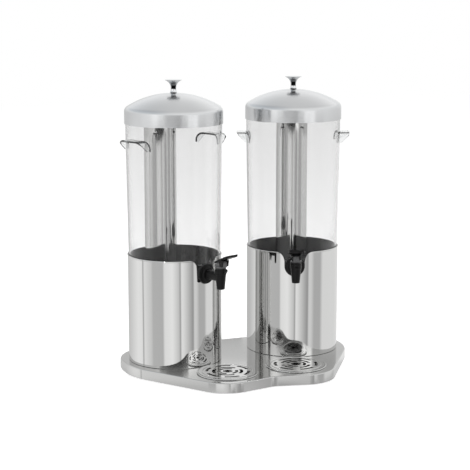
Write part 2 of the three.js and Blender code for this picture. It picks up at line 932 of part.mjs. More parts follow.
function tapBonnet() {
  const disc = turned(
    [
      [0, bonnetBottom],
      [bonnetDiscRadius, bonnetBottom],
      [bonnetDiscRadius, bonnetDiscTop],
      [0, bonnetDiscTop],
    ],
    smallSteps,
  );
  const earTop = arcPoints(pinReach, pinHeight, bonnetEar, 0, Math.PI / 2 + leverSlant);
  const block = sideways(
    shapeFrom([
      [spoutReach - bonnetBack, bonnetDiscTop - gap],
      [pinReach + bonnetEar, bonnetDiscTop - gap],
      ...earTop,
      [spoutReach - bonnetBack, pinHeight - bonnetBackDrop],
    ]),
    bonnetHalfWidth,
  );
  const bore = turned(
    [
      [0, bonnetBottom - cutOverrun],
      [stemRadius + gap, bonnetBottom - cutOverrun],
      [stemRadius + gap, pinHeight + 2 * cutOverrun],
      [0, pinHeight + 2 * cutOverrun],
    ],
    smallSteps / 2,
  );
  const pinHole = crossRod(leverPinRadius + gap, bonnetHalfWidth + cutOverrun);
  return atSpout(disc).add(block).subtract(atSpout(bore)).subtract(pinHole);
}

// A rod across the lever at its hinge.
function crossRod(radius, halfLength) {
  const circle = arcPoints(pinReach, pinHeight, radius, 0, 2 * Math.PI, smallSteps / 2).slice(1);
  return sideways(shapeFrom(circle), halfLength);
}

function leverPin() {
  return crossRod(leverPinRadius, leverHalfWidth - gap);
}

// A curved plate with two cheeks that straddle the bonnet, and a pocket for the stem's head.
function tapLever() {
  const line = [leverTail, leverHub, leverBend, leverTip];
  const edge = (side) =>
    line.map(({ reach, rise, thickness }, i) => {
      const before = line[Math.max(i - 1, 0)];
      const after = line[Math.min(i + 1, line.length - 1)];
      const slope = Math.atan2(after.rise - before.rise, after.reach - before.reach);
      return [
        spoutReach + reach - (side * Math.sin(slope) * thickness) / 2,
        tapHeight + rise + (side * Math.cos(slope) * thickness) / 2,
      ];
    });
  const side = sideways(shapeFrom([...edge(-1), ...edge(1).reverse()]), leverPaddleHalfWidth);
  const tail = -(spoutReach + leverTail.reach - leverTail.thickness);
  const tip = -(spoutReach + leverTip.reach);
  const flareStart = -(spoutReach + leverFlareStart);
  const flareEnd = -(spoutReach + leverFlareEnd);
  const corner = leverCorner;
  const rightHalf = [
    [leverHalfWidth, tail],
    [leverHalfWidth, flareStart],
    [leverPaddleHalfWidth, flareEnd],
    [leverPaddleHalfWidth, tip + corner],
    ...arcPoints(leverPaddleHalfWidth - corner, tip + corner, corner, 0, -Math.PI / 2).slice(1),
  ];
  const leftHalf = rightHalf.map(([x, y]) => [-x, y]).reverse();
  const planShape = shapeFrom([...leftHalf, ...rightHalf].reverse());
  const plan = raised(planShape, tapHeight, tapHeight + 2 * leverPinRise);
  const cheekTop = tapHeight + leverHub.rise;
  const cheekSide = sideways(
    shapeFrom([
      [pinReach - leverCheekBack + leverCheekTaper, pinHeight - leverCheekDrop],
      [pinReach + leverCheekFront - leverCheekTaper, pinHeight - leverCheekDrop],
      [pinReach + leverCheekFront, cheekTop + leverCheekTaper],
      [pinReach - leverCheekBack, cheekTop],
    ]),
    leverHalfWidth,
  );
  const between = sideways(
    shapeFrom([
      [spoutReach - bonnetBack - cutOverrun, bonnetDiscTop],
      [pinReach + leverCheekFront + cutOverrun, bonnetDiscTop],
      [pinReach + leverCheekFront + cutOverrun, cheekTop + leverCheekTaper + gap],
      [pinReach - leverCheekBack, cheekTop + gap],
      [spoutReach - bonnetBack - cutOverrun, pinHeight - cutOverrun],
    ]),
    bonnetHalfWidth + gap,
  );
  const floorHeight = tapHeight + leverPocketRise;
  const pocketTop = floorHeight + leverPinRise / 2;
  const tilt = leverTravel / 2;
  const box = (back, front, from, to) =>
    [
      [-back, from],
      [front, from],
      [front, to],
      [-back, to],
    ].map(([out, up]) => {
      const rise = up - floorHeight;
      return [
        spoutReach + out * Math.cos(tilt) - rise * Math.sin(tilt),
        floorHeight + out * Math.sin(tilt) + rise * Math.cos(tilt),
      ];
    });
  const pocket = sideways(
    shapeFrom(box(leverPocketBack, leverPocketFront, floorHeight, pocketTop)),
    leverPocketHalfWidth,
  );
  const slot = sideways(
    shapeFrom(box(leverSlotBack, leverSlotFront, floorHeight - leverPinRise / 3, floorHeight + cutOverrun)),
    leverSlotHalfWidth,
  );
  const cheeks = cheekSide.subtract(between);
  return side
    .intersect(plan)
    .add(cheeks)
    .subtract(pocket)
    .subtract(slot)
    .subtract(crossRod(leverPinRadius + gap, leverHalfWidth + cutOverrun));
}

// Finishes
const finishes = {
  polishedSteel: { color: 0xd4d6d8, roughness: 0.08, metalness: 1 },
  softSteel: { color: 0xc9cbcd, roughness: 0.22, metalness: 1 },
  chrome: { color: 0xe4e6e8, roughness: 0.05, metalness: 1 },
  clearPlastic: { color: 0xf2f5f6, roughness: 0.05, metalness: 0, transparent: true, opacity: 0.25 },
  blackPlastic: { color: 0x17181a, roughness: 0.4, metalness: 0 },
  darkPlastic: { color: 0x3a3b3d, roughness: 0.35, metalness: 0 },
  silicone: { color: 0x232425, roughness: 0.7, metalness: 0 },
  rubber: { color: 0x1b1b1b, roughness: 0.85, metalness: 0 },
};

function named(name, geometry, finish) {
  const mesh = new THREE.Mesh(geometry, new THREE.MeshStandardMaterial(finishes[finish]));
  mesh.name = name;
  return mesh;
}

const dispenser = new THREE.Group();

dispenser.add(named("base_shell", geometryOf(baseShell()), "softSteel"));

const footGeometry = geometryOf(rubberFoot());
const frontFootReach = cupWallRadius + footTopRadius + frontFootClearance;
const frontFootOut = trayOut + frontFootReach * Math.sin(frontFootTurn);
const frontFootAlong = -trayFront - frontFootReach * Math.cos(frontFootTurn);
const footPlaces = [
  ["front", frontFootOut, frontFootAlong],
  ["side", sideReach - sideFootInset, -sideFootFront],
  ["back", sideReach - backFootSideInset, backReach - backFootBackInset],
];
for (const [place, out, along] of footPlaces) {
  for (const [side, sign] of [
    ["left", -1],
    ["right", 1],
  ]) {
    const foot = named(`${place}_${side}_foot`, footGeometry, "rubber");
    foot.position.set(sign * out, along, 0);
    dispenser.add(foot);
  }
}

// The pieces of one side, each made once and used on both sides
const sidePieces = [
  ["sleeve", sleeve(), "polishedSteel"],
  ["tank_shelf", tankShelf(), "softSteel"],
  ["tank", tank(), "clearPlastic"],
  ["lid_shell", lidShell(), "softSteel"],
  ["lid_knob", lidKnob(), "chrome"],
  ["knob_screw", knobScrew(), "softSteel"],
  ["tube_holder", tubeHolder(), "softSteel"],
  ["ice_tube", iceTube(), "polishedSteel"],
  ["tube_plug", tubePlug(), "softSteel"],
  ["outer_gasket", outerGasket(), "silicone"],
  ["inner_gasket", innerGasket(), "silicone"],
  ["tap_nut", tapNut(), "blackPlastic"],
  ["tap_body", tapBody(), "blackPlastic"],
  ["tap_bonnet", tapBonnet(), "darkPlastic"],
  ["stem_seal", stemSeal(), "silicone"],
  ["tap_spring", tapSpring(), "polishedSteel"],
  ["seat_plug", seatPlug(), "silicone"],
  ["tap_stem", tapStem(), "blackPlastic"],
  ["tap_lever", tapLever(), "blackPlastic"],
  ["lever_pin", leverPin(), "polishedSteel"],
].map(([name, solid, finish]) => [name, geometryOf(solid), finish]);

const cupGeometry = geometryOf(dripCup());
const gridGeometry = geometryOf(dripGrid());
const handleGeometry = geometryOf(handle());

for (const [side, sign] of [
  ["left", -1],
  ["right", 1],
]) {
  const group = new THREE.Group();
  group.position.set((sign * tankSpacing) / 2, 0, 0);
  group.rotation.z = -sign * tapTurn;
  for (const [name, geometry, finish] of sidePieces) {
    group.add(named(`${side}_${name}`, geometry, finish));
  }
  for (const [place, turn] of [
    ["outer", sign],
    ["inner", -sign],
  ]) {
    const ear = named(`${side}_${place}_handle`, handleGeometry, "clearPlastic");
    ear.rotation.z = (turn * Math.PI) / 2;
    group.add(ear);
  }
  const cup = named(`${side}_drip_cup`, cupGeometry, "polishedSteel");
  cup.position.y = -trayReach;
  group.add(cup);
  const grid = named(`${side}_drip_grid`, gridGeometry, "polishedSteel");
  grid.position.y = -trayReach;
  group.add(grid);
  dispenser.add(group);
}

dispenser.position.y = axisSetback;

export default dispenser;
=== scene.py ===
# %% [markdown]
# # A twin cold drink dispenser, dressed for its portrait
# Two clear tanks stand in polished steel sleeves on one pressed steel base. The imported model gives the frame: where
# each piece is and which moving body carries it. This lesson builds the pieces that are seen as fine meshes over that
# frame, and gives every piece the finish of the real material.

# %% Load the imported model
import math
from collections import namedtuple

import bmesh
import bpy
from mathutils import Matrix, Vector


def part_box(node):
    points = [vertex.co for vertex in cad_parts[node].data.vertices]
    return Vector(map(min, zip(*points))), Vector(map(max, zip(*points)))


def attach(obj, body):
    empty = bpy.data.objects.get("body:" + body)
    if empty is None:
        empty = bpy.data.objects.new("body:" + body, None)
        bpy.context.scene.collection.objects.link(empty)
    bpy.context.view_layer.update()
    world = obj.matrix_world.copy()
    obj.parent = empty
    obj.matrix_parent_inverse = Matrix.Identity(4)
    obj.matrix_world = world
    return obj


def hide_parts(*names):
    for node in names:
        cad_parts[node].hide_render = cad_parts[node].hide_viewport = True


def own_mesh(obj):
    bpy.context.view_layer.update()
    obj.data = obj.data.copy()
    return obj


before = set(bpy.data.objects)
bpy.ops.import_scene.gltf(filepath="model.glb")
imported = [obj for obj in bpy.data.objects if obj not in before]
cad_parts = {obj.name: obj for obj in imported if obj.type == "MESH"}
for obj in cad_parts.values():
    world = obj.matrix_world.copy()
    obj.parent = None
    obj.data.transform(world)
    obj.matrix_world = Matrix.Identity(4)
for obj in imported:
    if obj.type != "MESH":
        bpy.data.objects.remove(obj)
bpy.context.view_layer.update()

# %% [markdown]
# ## The camera
# The picture was taken from a little above and to the left with a long lens, so the upright lines stay nearly
# parallel. Direction and distance were worked out from the rims' ellipses. A track quaternion points the lens.

# %% Camera
PICTURE_WIDTH = 470
FOCAL_PIXELS = 1468.0
SENSOR_MM = 36
CAMERA_PLACE = Vector((-1.1214, -2.72887, 0.8119))
CAMERA_GOAL = Vector((0.001374, 0.061331, 0.2711))
camera_data = bpy.data.cameras.new("long_lens")
camera_data.sensor_width = SENSOR_MM
camera_data.lens = FOCAL_PIXELS / PICTURE_WIDTH * SENSOR_MM
camera = bpy.data.objects.new("long_lens", camera_data)
camera.location = CAMERA_PLACE
aim = CAMERA_GOAL - CAMERA_PLACE
camera.rotation_euler = aim.to_track_quat("-Z", "Y").to_euler()
bpy.context.scene.collection.objects.link(camera)
bpy.context.scene.camera = camera
bpy.context.scene.view_settings.view_transform = "Standard"
print("lens:", round(camera_data.lens, 1), "mm, distance:", round(aim.length, 3), "m")

# %% [markdown]
# ## Driving sizes
# All sizes are in millimetres. The two sides are mirror images, so one side is described in its own frame: its origin
# is the tank's axis on the table, x points the way its tap looks, y across, and z up. The frame's boxes give the
# sizes that the solid model already holds, so both models stay one object. OVER is how far a cutting shape reaches
# past what it cuts, and CLEAR is the gap that touching pieces keep.

# %% Sizes
MM = 0.001
SIDES = ("left", "right")
TAP_TURN = math.radians(21)
OVER = 5
CLEAR = 0.3


def node_mm(node):
    """Lowest and highest corner of a solid of the frame, in millimetres."""
    low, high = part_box(node)
    return low / MM, high / MM


sleeve_low, sleeve_high = node_mm("left_sleeve")
tank_low, tank_high = node_mm("left_tank")
lid_low, lid_high = node_mm("left_lid_shell")
base_low, base_high = node_mm("base_shell")
TANK_AXIS = Vector((-132, 61.331, 0))
SLEEVE_RADIUS = 96
SLEEVE_FOOT, SLEEVE_TOP = sleeve_low.z, sleeve_high.z
TANK_FOOT, TANK_TOP = tank_low.z, tank_high.z
LID_FOOT, LID_TOP = lid_low.z, lid_high.z
BASE_FOOT, BASE_TOP = base_low.z, base_high.z
TAP_HEIGHT = SLEEVE_TOP - 29
SPOUT_REACH = SLEEVE_RADIUS + 44
TRAY_REACH = SLEEVE_RADIUS + 64
TANK_FOOT_RADIUS, TANK_RIM_RADIUS, TANK_WALL = 93.3, 98.4, 3
TANK_DRAFT = (TANK_RIM_RADIUS - TANK_FOOT_RADIUS) / (TANK_TOP - TANK_FOOT)
print("sleeve", round(SLEEVE_FOOT, 1), "to", round(SLEEVE_TOP, 1), "tank to", round(TANK_TOP, 1))

# %% [markdown]
# ## Small helpers for shapes
# A lathe needs only half an outline: a chain of edges beside the axis, spun round. A corner of the chain can be
# rounded by bevelling its point, and a long arc is one point spun about the arc's centre. The same chain, laid flat
# and filled, is the start of each pressed or moulded plate.

# %% Chains, spins and plates
Arc = namedtuple("Arc", "x z radius start end steps")


def chain(bm, parts, closed=True):
    """Joins corners (x, z) or (x, z, round) and arcs in the XZ plane with edges, and rounds the corners."""
    ends, soft = [], []
    for part in parts:
        if isinstance(part, Arc):
            first = bm.verts.new((part.x + part.radius * math.cos(part.start), 0,
                                  part.z + part.radius * math.sin(part.start)))
            swept = bmesh.ops.spin(bm, geom=[first], cent=(part.x, 0, part.z), axis=(0, -1, 0),
                                   angle=part.end - part.start, steps=part.steps)
            last = next(g for g in swept["geom_last"] if isinstance(g, bmesh.types.BMVert))
            ends.append((first, last))
        else:
            point = bm.verts.new((part[0], 0, part[1]))
            ends.append((point, point))
            if len(part) > 2:
                soft.append((point, part[2]))
    for (_, here), (there, _) in zip(ends, ends[1:] + ends[:1] * closed):
        bm.edges.new((here, there))
    for point, radius in soft:
        ways = [(e.other_vert(point).co - point.co).normalized() for e in point.link_edges]
        half = ways[0].angle(ways[1]) / 2
        bmesh.ops.bevel(bm, geom=[point], offset=radius / math.tan(half), offset_type="OFFSET", segments=6,
                        profile=0.5, affect="VERTICES", material=-1)
    return bm


def lathe(parts, steps=160, closed=True):
    """Spins a half outline about the upright axis and closes its seam and poles."""
    bm = chain(bmesh.new(), parts, closed)
    bmesh.ops.spin(bm, geom=bm.verts[:] + bm.edges[:], cent=(0, 0, 0), axis=(0, 0, 1), angle=2 * math.pi,
                   steps=steps, use_merge=True)
    bmesh.ops.remove_doubles(bm, verts=bm.verts, dist=0.001)
    bmesh.ops.recalc_face_normals(bm, faces=bm.faces)
    return bm


def rod(radius, low, high, steps=32):
    """A plain upright cylinder."""
    return lathe([(0, low), (radius, low), (radius, high), (0, high)], steps, closed=False)


def plate(parts, start, end, holes=()):
    """Fills an outline drawn in the XZ plane, with holes, and pushes it along Y from start to end."""
    bm = chain(bmesh.new(), parts)
    for hole in holes:
        chain(bm, hole)
    bmesh.ops.triangle_fill(bm, use_beauty=True, edges=bm.edges, normal=(0, 1, 0))
    bmesh.ops.translate(bm, vec=(0, start, 0), verts=bm.verts)
    pushed = bmesh.ops.extrude_face_region(bm, geom=bm.faces[:], use_keep_orig=True)
    moved = [g for g in pushed["geom"] if isinstance(g, bmesh.types.BMVert)]
    bmesh.ops.translate(bm, vec=(0, end - start, 0), verts=moved)
    bmesh.ops.recalc_face_normals(bm, faces=bm.faces)
    return bm


# %% [markdown]
# Shapes are turned and shifted while they are still bmeshes. Two of them are put together as they are, or one carves
# the other: a Boolean modifier on a passing object does that, and its result is read back.

# %% Turning, shifting, joining and carving
def turn(bm, axis, degrees):
    bmesh.ops.rotate(bm, cent=(0, 0, 0), matrix=Matrix.Rotation(math.radians(degrees), 3, axis), verts=bm.verts)
    return bm


def shift(bm, x=0, y=0, z=0):
    bmesh.ops.translate(bm, vec=(x, y, z), verts=bm.verts)
    return bm


def joined(bm, *others):
    """Puts the shapes of other meshes into the first one."""
    for other in others:
        spare = bpy.data.meshes.new("spare")
        other.to_mesh(spare)
        bm.from_mesh(spare)
        other.free()
        bpy.data.meshes.remove(spare)
    return bm


def new_object(name, bm):
    """Makes an object at the origin from a bmesh, which is used up."""
    mesh = bpy.data.meshes.new(name)
    bm.to_mesh(mesh)
    bm.free()
    made = bpy.data.objects.new(name, mesh)
    bpy.context.scene.collection.objects.link(made)
    return made


def carved(bm, tool, operation="DIFFERENCE"):
    """Cuts a tool shape out of a mesh, adds it, or keeps what they share, with a Boolean modifier."""
    work, cutter = new_object("carving", bm), new_object("carving", tool)
    modifier = work.modifiers.new("carve", "BOOLEAN")
    modifier.operation = operation
    modifier.solver = "EXACT"
    modifier.object = cutter
    bpy.context.view_layer.update()
    evaluated = work.evaluated_get(bpy.context.evaluated_depsgraph_get())
    result = bmesh.new()
    result.from_mesh(evaluated.to_mesh())
    evaluated.to_mesh_clear()
    for thing in (work, cutter):
        bpy.data.meshes.remove(thing.data)
    return result


# %% [markdown]
# ## Small helpers for finishes
# Colours are written as the hex values that a picture shows, and one function turns them to the linear values that
# the shader works in. One more function adds a node with its settings and links, so a material reads as a list.

# %% Colours and nodes
def linear(code):
    """An sRGB hex colour as linear red, green, blue and alpha."""
    shares = [int(code[i:i + 2], 16) / 255 for i in (1, 3, 5)]
    return tuple(s / 12.92 if s <= 0.04045 else ((s + 0.055) / 1.055) ** 2.4 for s in shares) + (1.0,)


def add_node(tree, kind, settings=None, links=None, **values):
    """Adds a node; settings are its properties, values its sockets by name or number, links what feeds them."""
    node = tree.nodes.new(kind)
    for name, value in (settings or {}).items():
        setattr(node, name, value)
    for name, value in values.items():
        node.inputs[int(name[1:]) if name[0] == "_" else name.replace("_", " ")].default_value = value
    for name, source in (links or {}).items():
        tree.links.new(source, node.inputs[name])
    return node


def bare_tree(owner):
    """The emptied node tree of a material or a world."""
    owner.use_nodes = True
    owner.node_tree.nodes.clear()
    return owner.node_tree


def new_material(name, **values):
    """A material with one Principled shader whose sockets are set by name."""
    material = bpy.data.materials.new(name)
    tree = bare_tree(material)
    shader = add_node(tree, "ShaderNodeBsdfPrincipled", **values)
    add_node(tree, "ShaderNodeOutputMaterial", links={"Surface": shader.outputs["BSDF"]})
    return material, tree, shader


# %% [markdown]
# Several finishes share a few patterns of nodes: noise that varies the roughness or makes a bump, a colour ramp with
# its stops, a smooth step, and the mix of two colours or two shaders.

# %% Patterns of nodes
def own_noise(tree, scale, detail, stretch=None):
    """Noise in the object's own coordinates; stretch scales the three axes apart."""
    place = add_node(tree, "ShaderNodeTexCoord").outputs["Object"]
    if stretch:
        place = add_node(tree, "ShaderNodeMapping", links={"Vector": place}, Scale=stretch).outputs["Vector"]
    return add_node(tree, "ShaderNodeTexNoise", links={"Vector": place}, Scale=scale, Detail=detail).outputs["Fac"]


def vary_roughness(tree, shader, pattern, low, high):
    rough = add_node(tree, "ShaderNodeMapRange", links={"Value": pattern}, _3=low, _4=high)
    tree.links.new(rough.outputs["Result"], shader.inputs["Roughness"])


def add_bump(tree, shader, pattern, strength, distance):
    bump = add_node(tree, "ShaderNodeBump", links={"Height": pattern}, Strength=strength, Distance=distance)
    tree.links.new(bump.outputs["Normal"], shader.inputs["Normal"])


def colour_ramp(tree, source, stops):
    """A colour ramp from (place, colour) stops in rising order."""
    ramp = add_node(tree, "ShaderNodeValToRGB", links={"Fac": source})
    elements = ramp.color_ramp.elements
    elements.remove(elements[1])
    for i, (place, colour) in enumerate(stops):
        element = elements[0] if i == 0 else elements.new(place)
        element.position = place
        element.color = colour
    return ramp.outputs["Color"]


def smooth_step(tree, source, low, high):
    """Rises smoothly from 0 at low to 1 at high."""
    step = add_node(tree, "ShaderNodeMapRange", {"interpolation_type": "SMOOTHSTEP"}, links={"Value": source},
                    _1=low, _2=high)
    return step.outputs["Result"]


def mixed(tree, share, first, second, blend="MIX"):
    """Mixes two colours, each a socket or a plain value."""
    mix = add_node(tree, "ShaderNodeMix", {"data_type": "RGBA", "blend_type": blend}, links={0: share})
    for number, colour in ((6, first), (7, second)):
        if isinstance(colour, bpy.types.NodeSocket):
            tree.links.new(colour, mix.inputs[number])
        else:
            mix.inputs[number].default_value = colour
    return mix.outputs["Result"]


def either(tree, share, first, second):
    """The first shader where share is 0, the second where it is 1."""
    return add_node(tree, "ShaderNodeMixShader", links={0: share, 1: first.outputs[0], 2: second.outputs[0]})


# %% [markdown]
# ## Mirror polished stainless steel
# The sleeves, the cups and the grids are stainless steel sheet, polished until it mirrors the room. The eye reads it
# by the upright bands of light and dark it mirrors. Faint polishing lines round the sheet, about 2 mm apart here so
# that they show, shift the roughness a little, and a very long shallow wave keeps the bands from being ruler straight.
# The counts say how many lines or waves a metre holds.

# %% Mirror polished stainless steel
LINES_ROUND, WAVES_ROUND, WAVES_UP = 4.0, 14.0, 5.0
WAVE_DEPTH = 10 * MM
LINE_CONTRAST = 0.3


def mirror_steel(name, colour, roughness, line_mm=2.0, wave=0.02, metallic=1.0):
    material, tree, shader = new_material(name, Base_Color=linear(colour), Metallic=metallic)
    lines = own_noise(tree, 1.0, 3.0, (LINES_ROUND, LINES_ROUND, 1 / (line_mm * MM)))
    vary_roughness(tree, shader, lines, roughness * (1 - LINE_CONTRAST), roughness * (1 + LINE_CONTRAST))
    add_bump(tree, shader, own_noise(tree, 1.0, 1.0, (WAVES_ROUND, WAVES_ROUND, WAVES_UP)), wave, WAVE_DEPTH)
    return material


sleeve_steel = mirror_steel("stainless_sheet_mirror_polished", "#CFCFCE", 0.05)
sleeve_inside_steel = mirror_steel("stainless_sheet_unpolished_inside", "#C0C0C0", 0.15, metallic=0.8)
tray_steel = mirror_steel("stainless_spun_polished", "#CBCBCA", 0.06, line_mm=1.0, wave=0.01)
base_steel = mirror_steel("stainless_pressed_polished", "#C8C8C7", 0.09, wave=0.01)
tube_steel = mirror_steel("stainless_tube_drawn", "#D4D4D3", 0.07, wave=0.01)
print("mirror steels:", sleeve_steel.name, base_steel.name)

# %% [markdown]
# ## Spun stainless steel and chrome
# The lids are spun from sheet, and fine rings from the spinning tool stay in them. Such rings blur a mirror image up
# and down but hardly sideways, which the shader makes with an anisotropic gloss whose tangent runs round the lid. The
# knob is chromed, and its black and white blots are painted reflection: greys in its base colour over its height.

# %% Spun steel and chrome
lid_steel = mirror_steel("stainless_spun_polished_lid", "#D2D3D4", 0.2, line_mm=1.5, wave=0.01)
spun_shader = lid_steel.node_tree.nodes["Principled BSDF"]
spun_shader.inputs["Anisotropic"].default_value = 0.6
spun_shader.inputs["Anisotropic Rotation"].default_value = 0.25
spun_round = add_node(lid_steel.node_tree, "ShaderNodeTangent", {"direction_type": "RADIAL", "axis": "Z"})
lid_steel.node_tree.links.new(spun_round.outputs["Tangent"], spun_shader.inputs["Tangent"])
inner_steel = mirror_steel("stainless_plain_mill", "#BDBEBF", 0.35, line_mm=3.0)
pin_steel = mirror_steel("steel_blackened_pin", "#3A3A3A", 0.3)
chrome = mirror_steel("chrome_plated", "#D8D9DA", 0.03, wave=0.005)

# painted reflection: black and white blots painted into the chrome's base colour over the knob's height, only where it
# faces the eye
CHROME_PAINTED_REFLECTION = ((0.0, "#101010"), (0.09, "#101010"), (0.14, "#E2E3E4"), (0.30, "#E2E3E4"), (0.37, "#0C0C0C"),
                (0.60, "#0C0C0C"), (0.68, "#7E7F80"), (0.80, "#5C5D5E"), (0.90, "#A2A3A4"), (1.0, "#B8B9BA"))
PAINTED_REFLECTION_STRAY, PAINTED_REFLECTION_PER_METRE = 0.12, 160.0
tree = chrome.node_tree
knob_foot, knob_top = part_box("left_lid_knob")
place = add_node(tree, "ShaderNodeTexCoord")
spot = add_node(tree, "ShaderNodeSeparateXYZ", links={"Vector": place.outputs["Object"]})
share = add_node(tree, "ShaderNodeMapRange", links={"Value": spot.outputs["Z"]}, _1=knob_foot.z, _2=knob_top.z)
shifted = add_node(tree, "ShaderNodeMath", {"operation": "MULTIPLY_ADD"},
                   links={0: own_noise(tree, PAINTED_REFLECTION_PER_METRE, 1.0), 2: share.outputs["Result"]}, _1=PAINTED_REFLECTION_STRAY)
blots = colour_ramp(tree, shifted.outputs["Value"], [(height, linear(code)) for height, code in CHROME_PAINTED_REFLECTION])
facing = add_node(tree, "ShaderNodeLayerWeight", Blend=0.5)
# the painted reflection shows only where the knob faces the eye; towards its outline the plain chrome colour stays
chrome_painted_colour = mixed(tree, smooth_step(tree, facing.outputs["Facing"], 0.25, 0.6), blots, linear("#DADBDC"))
tree.links.new(chrome_painted_colour, tree.nodes["Principled BSDF"].inputs["Base Color"])
print("chrome blots:", len(CHROME_PAINTED_REFLECTION), "stops")


# %% [markdown]
# ## Clear polycarbonate
# The tank and its ears are moulded in clear polycarbonate: nearly invisible face on, grey where the wall turns away
# and light travels a long way through it. The real index is 1.585; 1.3 is used, because the picture's bright room
# keeps the wall's edges thin and pale. A faint wave of the melt's flow stays in the wall. Lamps pass it by letting
# shadow rays through a transparent shader.

# %% Clear polycarbonate
FLOWS_PER_METRE, FLOW_STRENGTH = 9.0, 0.02


def clear_plastic(name, tint, roughness=0.02):
    material, tree, shader = new_material(name, Base_Color=linear(tint), Roughness=roughness, IOR=1.3,
                                          Transmission_Weight=1.0)
    add_bump(tree, shader, own_noise(tree, FLOWS_PER_METRE, 1.0), FLOW_STRENGTH, WAVE_DEPTH)
    path = add_node(tree, "ShaderNodeLightPath")
    clear = add_node(tree, "ShaderNodeBsdfTransparent", Color=linear("#F4F4F4"))
    lit = either(tree, path.outputs["Is Shadow Ray"], shader, clear)
    tree.links.new(lit.outputs["Shader"], tree.nodes["Material Output"].inputs["Surface"])
    return material


tank_plastic = clear_plastic("polycarbonate_clear_moulded", "#F0F0F0")
ear_plastic = clear_plastic("polycarbonate_clear_ears", "#EEEFEF", 0.05)
print("clear plastics:", tank_plastic.name, ear_plastic.name)


# %% [markdown]
# ## Black plastic, silicone and rubber
# The taps are moulded ABS with a fine spark-eroded texture, which spreads the lamps into soft grey lights. Silicone
# and rubber are duller still. The grain is 0.6 mm, coarser than the real 0.1 mm, or it would vanish in the picture.
# The seam where an ear is welded to its tank is darker and duller than the clear plastic, since it holds tiny bubbles.

# %% Black plastic, silicone and rubber
GRAIN_MM, GRAIN_STRENGTH, GRAIN_DEPTH = 0.6, 0.08, 0.3 * MM
PATCHES_PER_METRE, PATCH_CONTRAST = 60.0, 0.06


def moulded(name, colour, roughness, specular=0.5):
    material, tree, shader = new_material(name, Base_Color=linear(colour), Specular_IOR_Level=specular)
    patches = own_noise(tree, PATCHES_PER_METRE, 2.0)
    vary_roughness(tree, shader, patches, roughness - PATCH_CONTRAST, roughness + PATCH_CONTRAST)
    add_bump(tree, shader, own_noise(tree, 1 / (GRAIN_MM * MM), 2.0), GRAIN_STRENGTH, GRAIN_DEPTH)
    return material


tap_plastic = moulded("abs_black_moulded", "#0C0C0C", 0.3, specular=0.2)
bonnet_plastic = moulded("abs_dark_grey_moulded", "#5E5E5F", 0.28)
ear_seam = moulded("polycarbonate_weld_seam", "#484848", 0.5, specular=0.2)
silicone = moulded("silicone_black", "#202021", 0.5, specular=0.35)
rubber = moulded("rubber_black", "#1A1A1A", 0.75, specular=0.3)
print("moulded:", tap_plastic.name, bonnet_plastic.name, ear_seam.name, silicone.name, rubber.name)

# %% [markdown]
# ## Finishing a piece
# A finished piece keeps its object at the origin with its place in its mesh, rides on the body that carries it, and
# stands for its solid in the frame. Sharp edges are marked by angle, so flat plates stay flat and curves stay smooth.

# %% Finish a piece
FINISHES = {"base_steel": base_steel, "polished_steel": sleeve_steel, "tray_steel": tray_steel,
            "lid_steel": lid_steel, "satin_steel": inner_steel, "chrome_knob": chrome, "clear_tank": tank_plastic,
            "black_plastic": tap_plastic, "grey_plastic": bonnet_plastic, "black_silicone": silicone,
            "black_rubber": rubber, "pin_steel": pin_steel}
SHARP_DEGREES, BEVEL_DEGREES = 32, 35


def settle(bm, name, body, slot, nodes, side=None, materials=None):
    """Brings a mesh in millimetres to its place, makes the object, and hands it to the frame."""
    bmesh.ops.scale(bm, vec=(MM, MM, MM), verts=bm.verts)
    if side:
        facing = Matrix.Rotation(TAP_TURN - math.pi / 2, 3, "Z")
        bmesh.ops.rotate(bm, cent=(0, 0, 0), matrix=facing, verts=bm.verts)
        bmesh.ops.translate(bm, vec=TANK_AXIS * MM, verts=bm.verts)
    if side == "right":
        bmesh.ops.scale(bm, vec=(-1, 1, 1), verts=bm.verts)
        bmesh.ops.reverse_faces(bm, faces=bm.faces)
    piece = new_object(name, bm)
    mesh = piece.data
    for material in materials or [FINISHES[slot]]:
        mesh.materials.append(material)
    mesh.polygons.foreach_set("use_smooth", [True] * len(mesh.polygons))
    mesh.set_sharp_from_angle(angle=math.radians(SHARP_DEGREES))
    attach(piece, body)
    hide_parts(*nodes)
    print(name, "faces:", len(mesh.polygons))
    return piece


def keep_true(piece):
    """Lets the large faces set the normals, so that a mirror wall beside a small round edge stays straight."""
    weighted = piece.modifiers.new("flats", "WEIGHTED_NORMAL")
    weighted.keep_sharp = True
    weighted.weight = 100
    return piece


def soften(piece, width):
    """Rounds a piece's sharp edges a little, as a mould leaves them, and keeps its flats flat."""
    bevel = piece.modifiers.new("edges", "BEVEL")
    bevel.width = width * MM
    bevel.segments = 2
    bevel.limit_method = "ANGLE"
    bevel.angle_limit = math.radians(BEVEL_DEGREES)
    return keep_true(piece)


# %% [markdown]
# ## The base
# The base is one pressed sheet, like a shallow tray upside down: a lobe in front of each tank, a valley between them
# and a skirt all round. The outline's corners are rounded by bevelling its points. The face is filled with holes for
# the two cups, the skirt is pulled down from its rim, and the sheet then gets its thickness inwards.

# %% Base tray
BASE_SHEET, BASE_EDGE, FACE_INSET = 1.5, 2, 0.3
CUP_HOLE = 55.3
tray_out = 132 - TRAY_REACH * math.sin(TAP_TURN)
tray_front = TRAY_REACH * math.cos(TAP_TURN)
BASE_CORNERS = ((0, 212, 40), (113, 237, 65), (242, 43, 105), (242, -106, 90))


def base_outline():
    """Half the outline's corners, mirrored, as (x, y, round) about the line between the tank axes."""
    half = [(x, -y, r) for x, y, r in BASE_CORNERS]
    return half + [(-x, y, r) for x, y, r in half[:0:-1]]


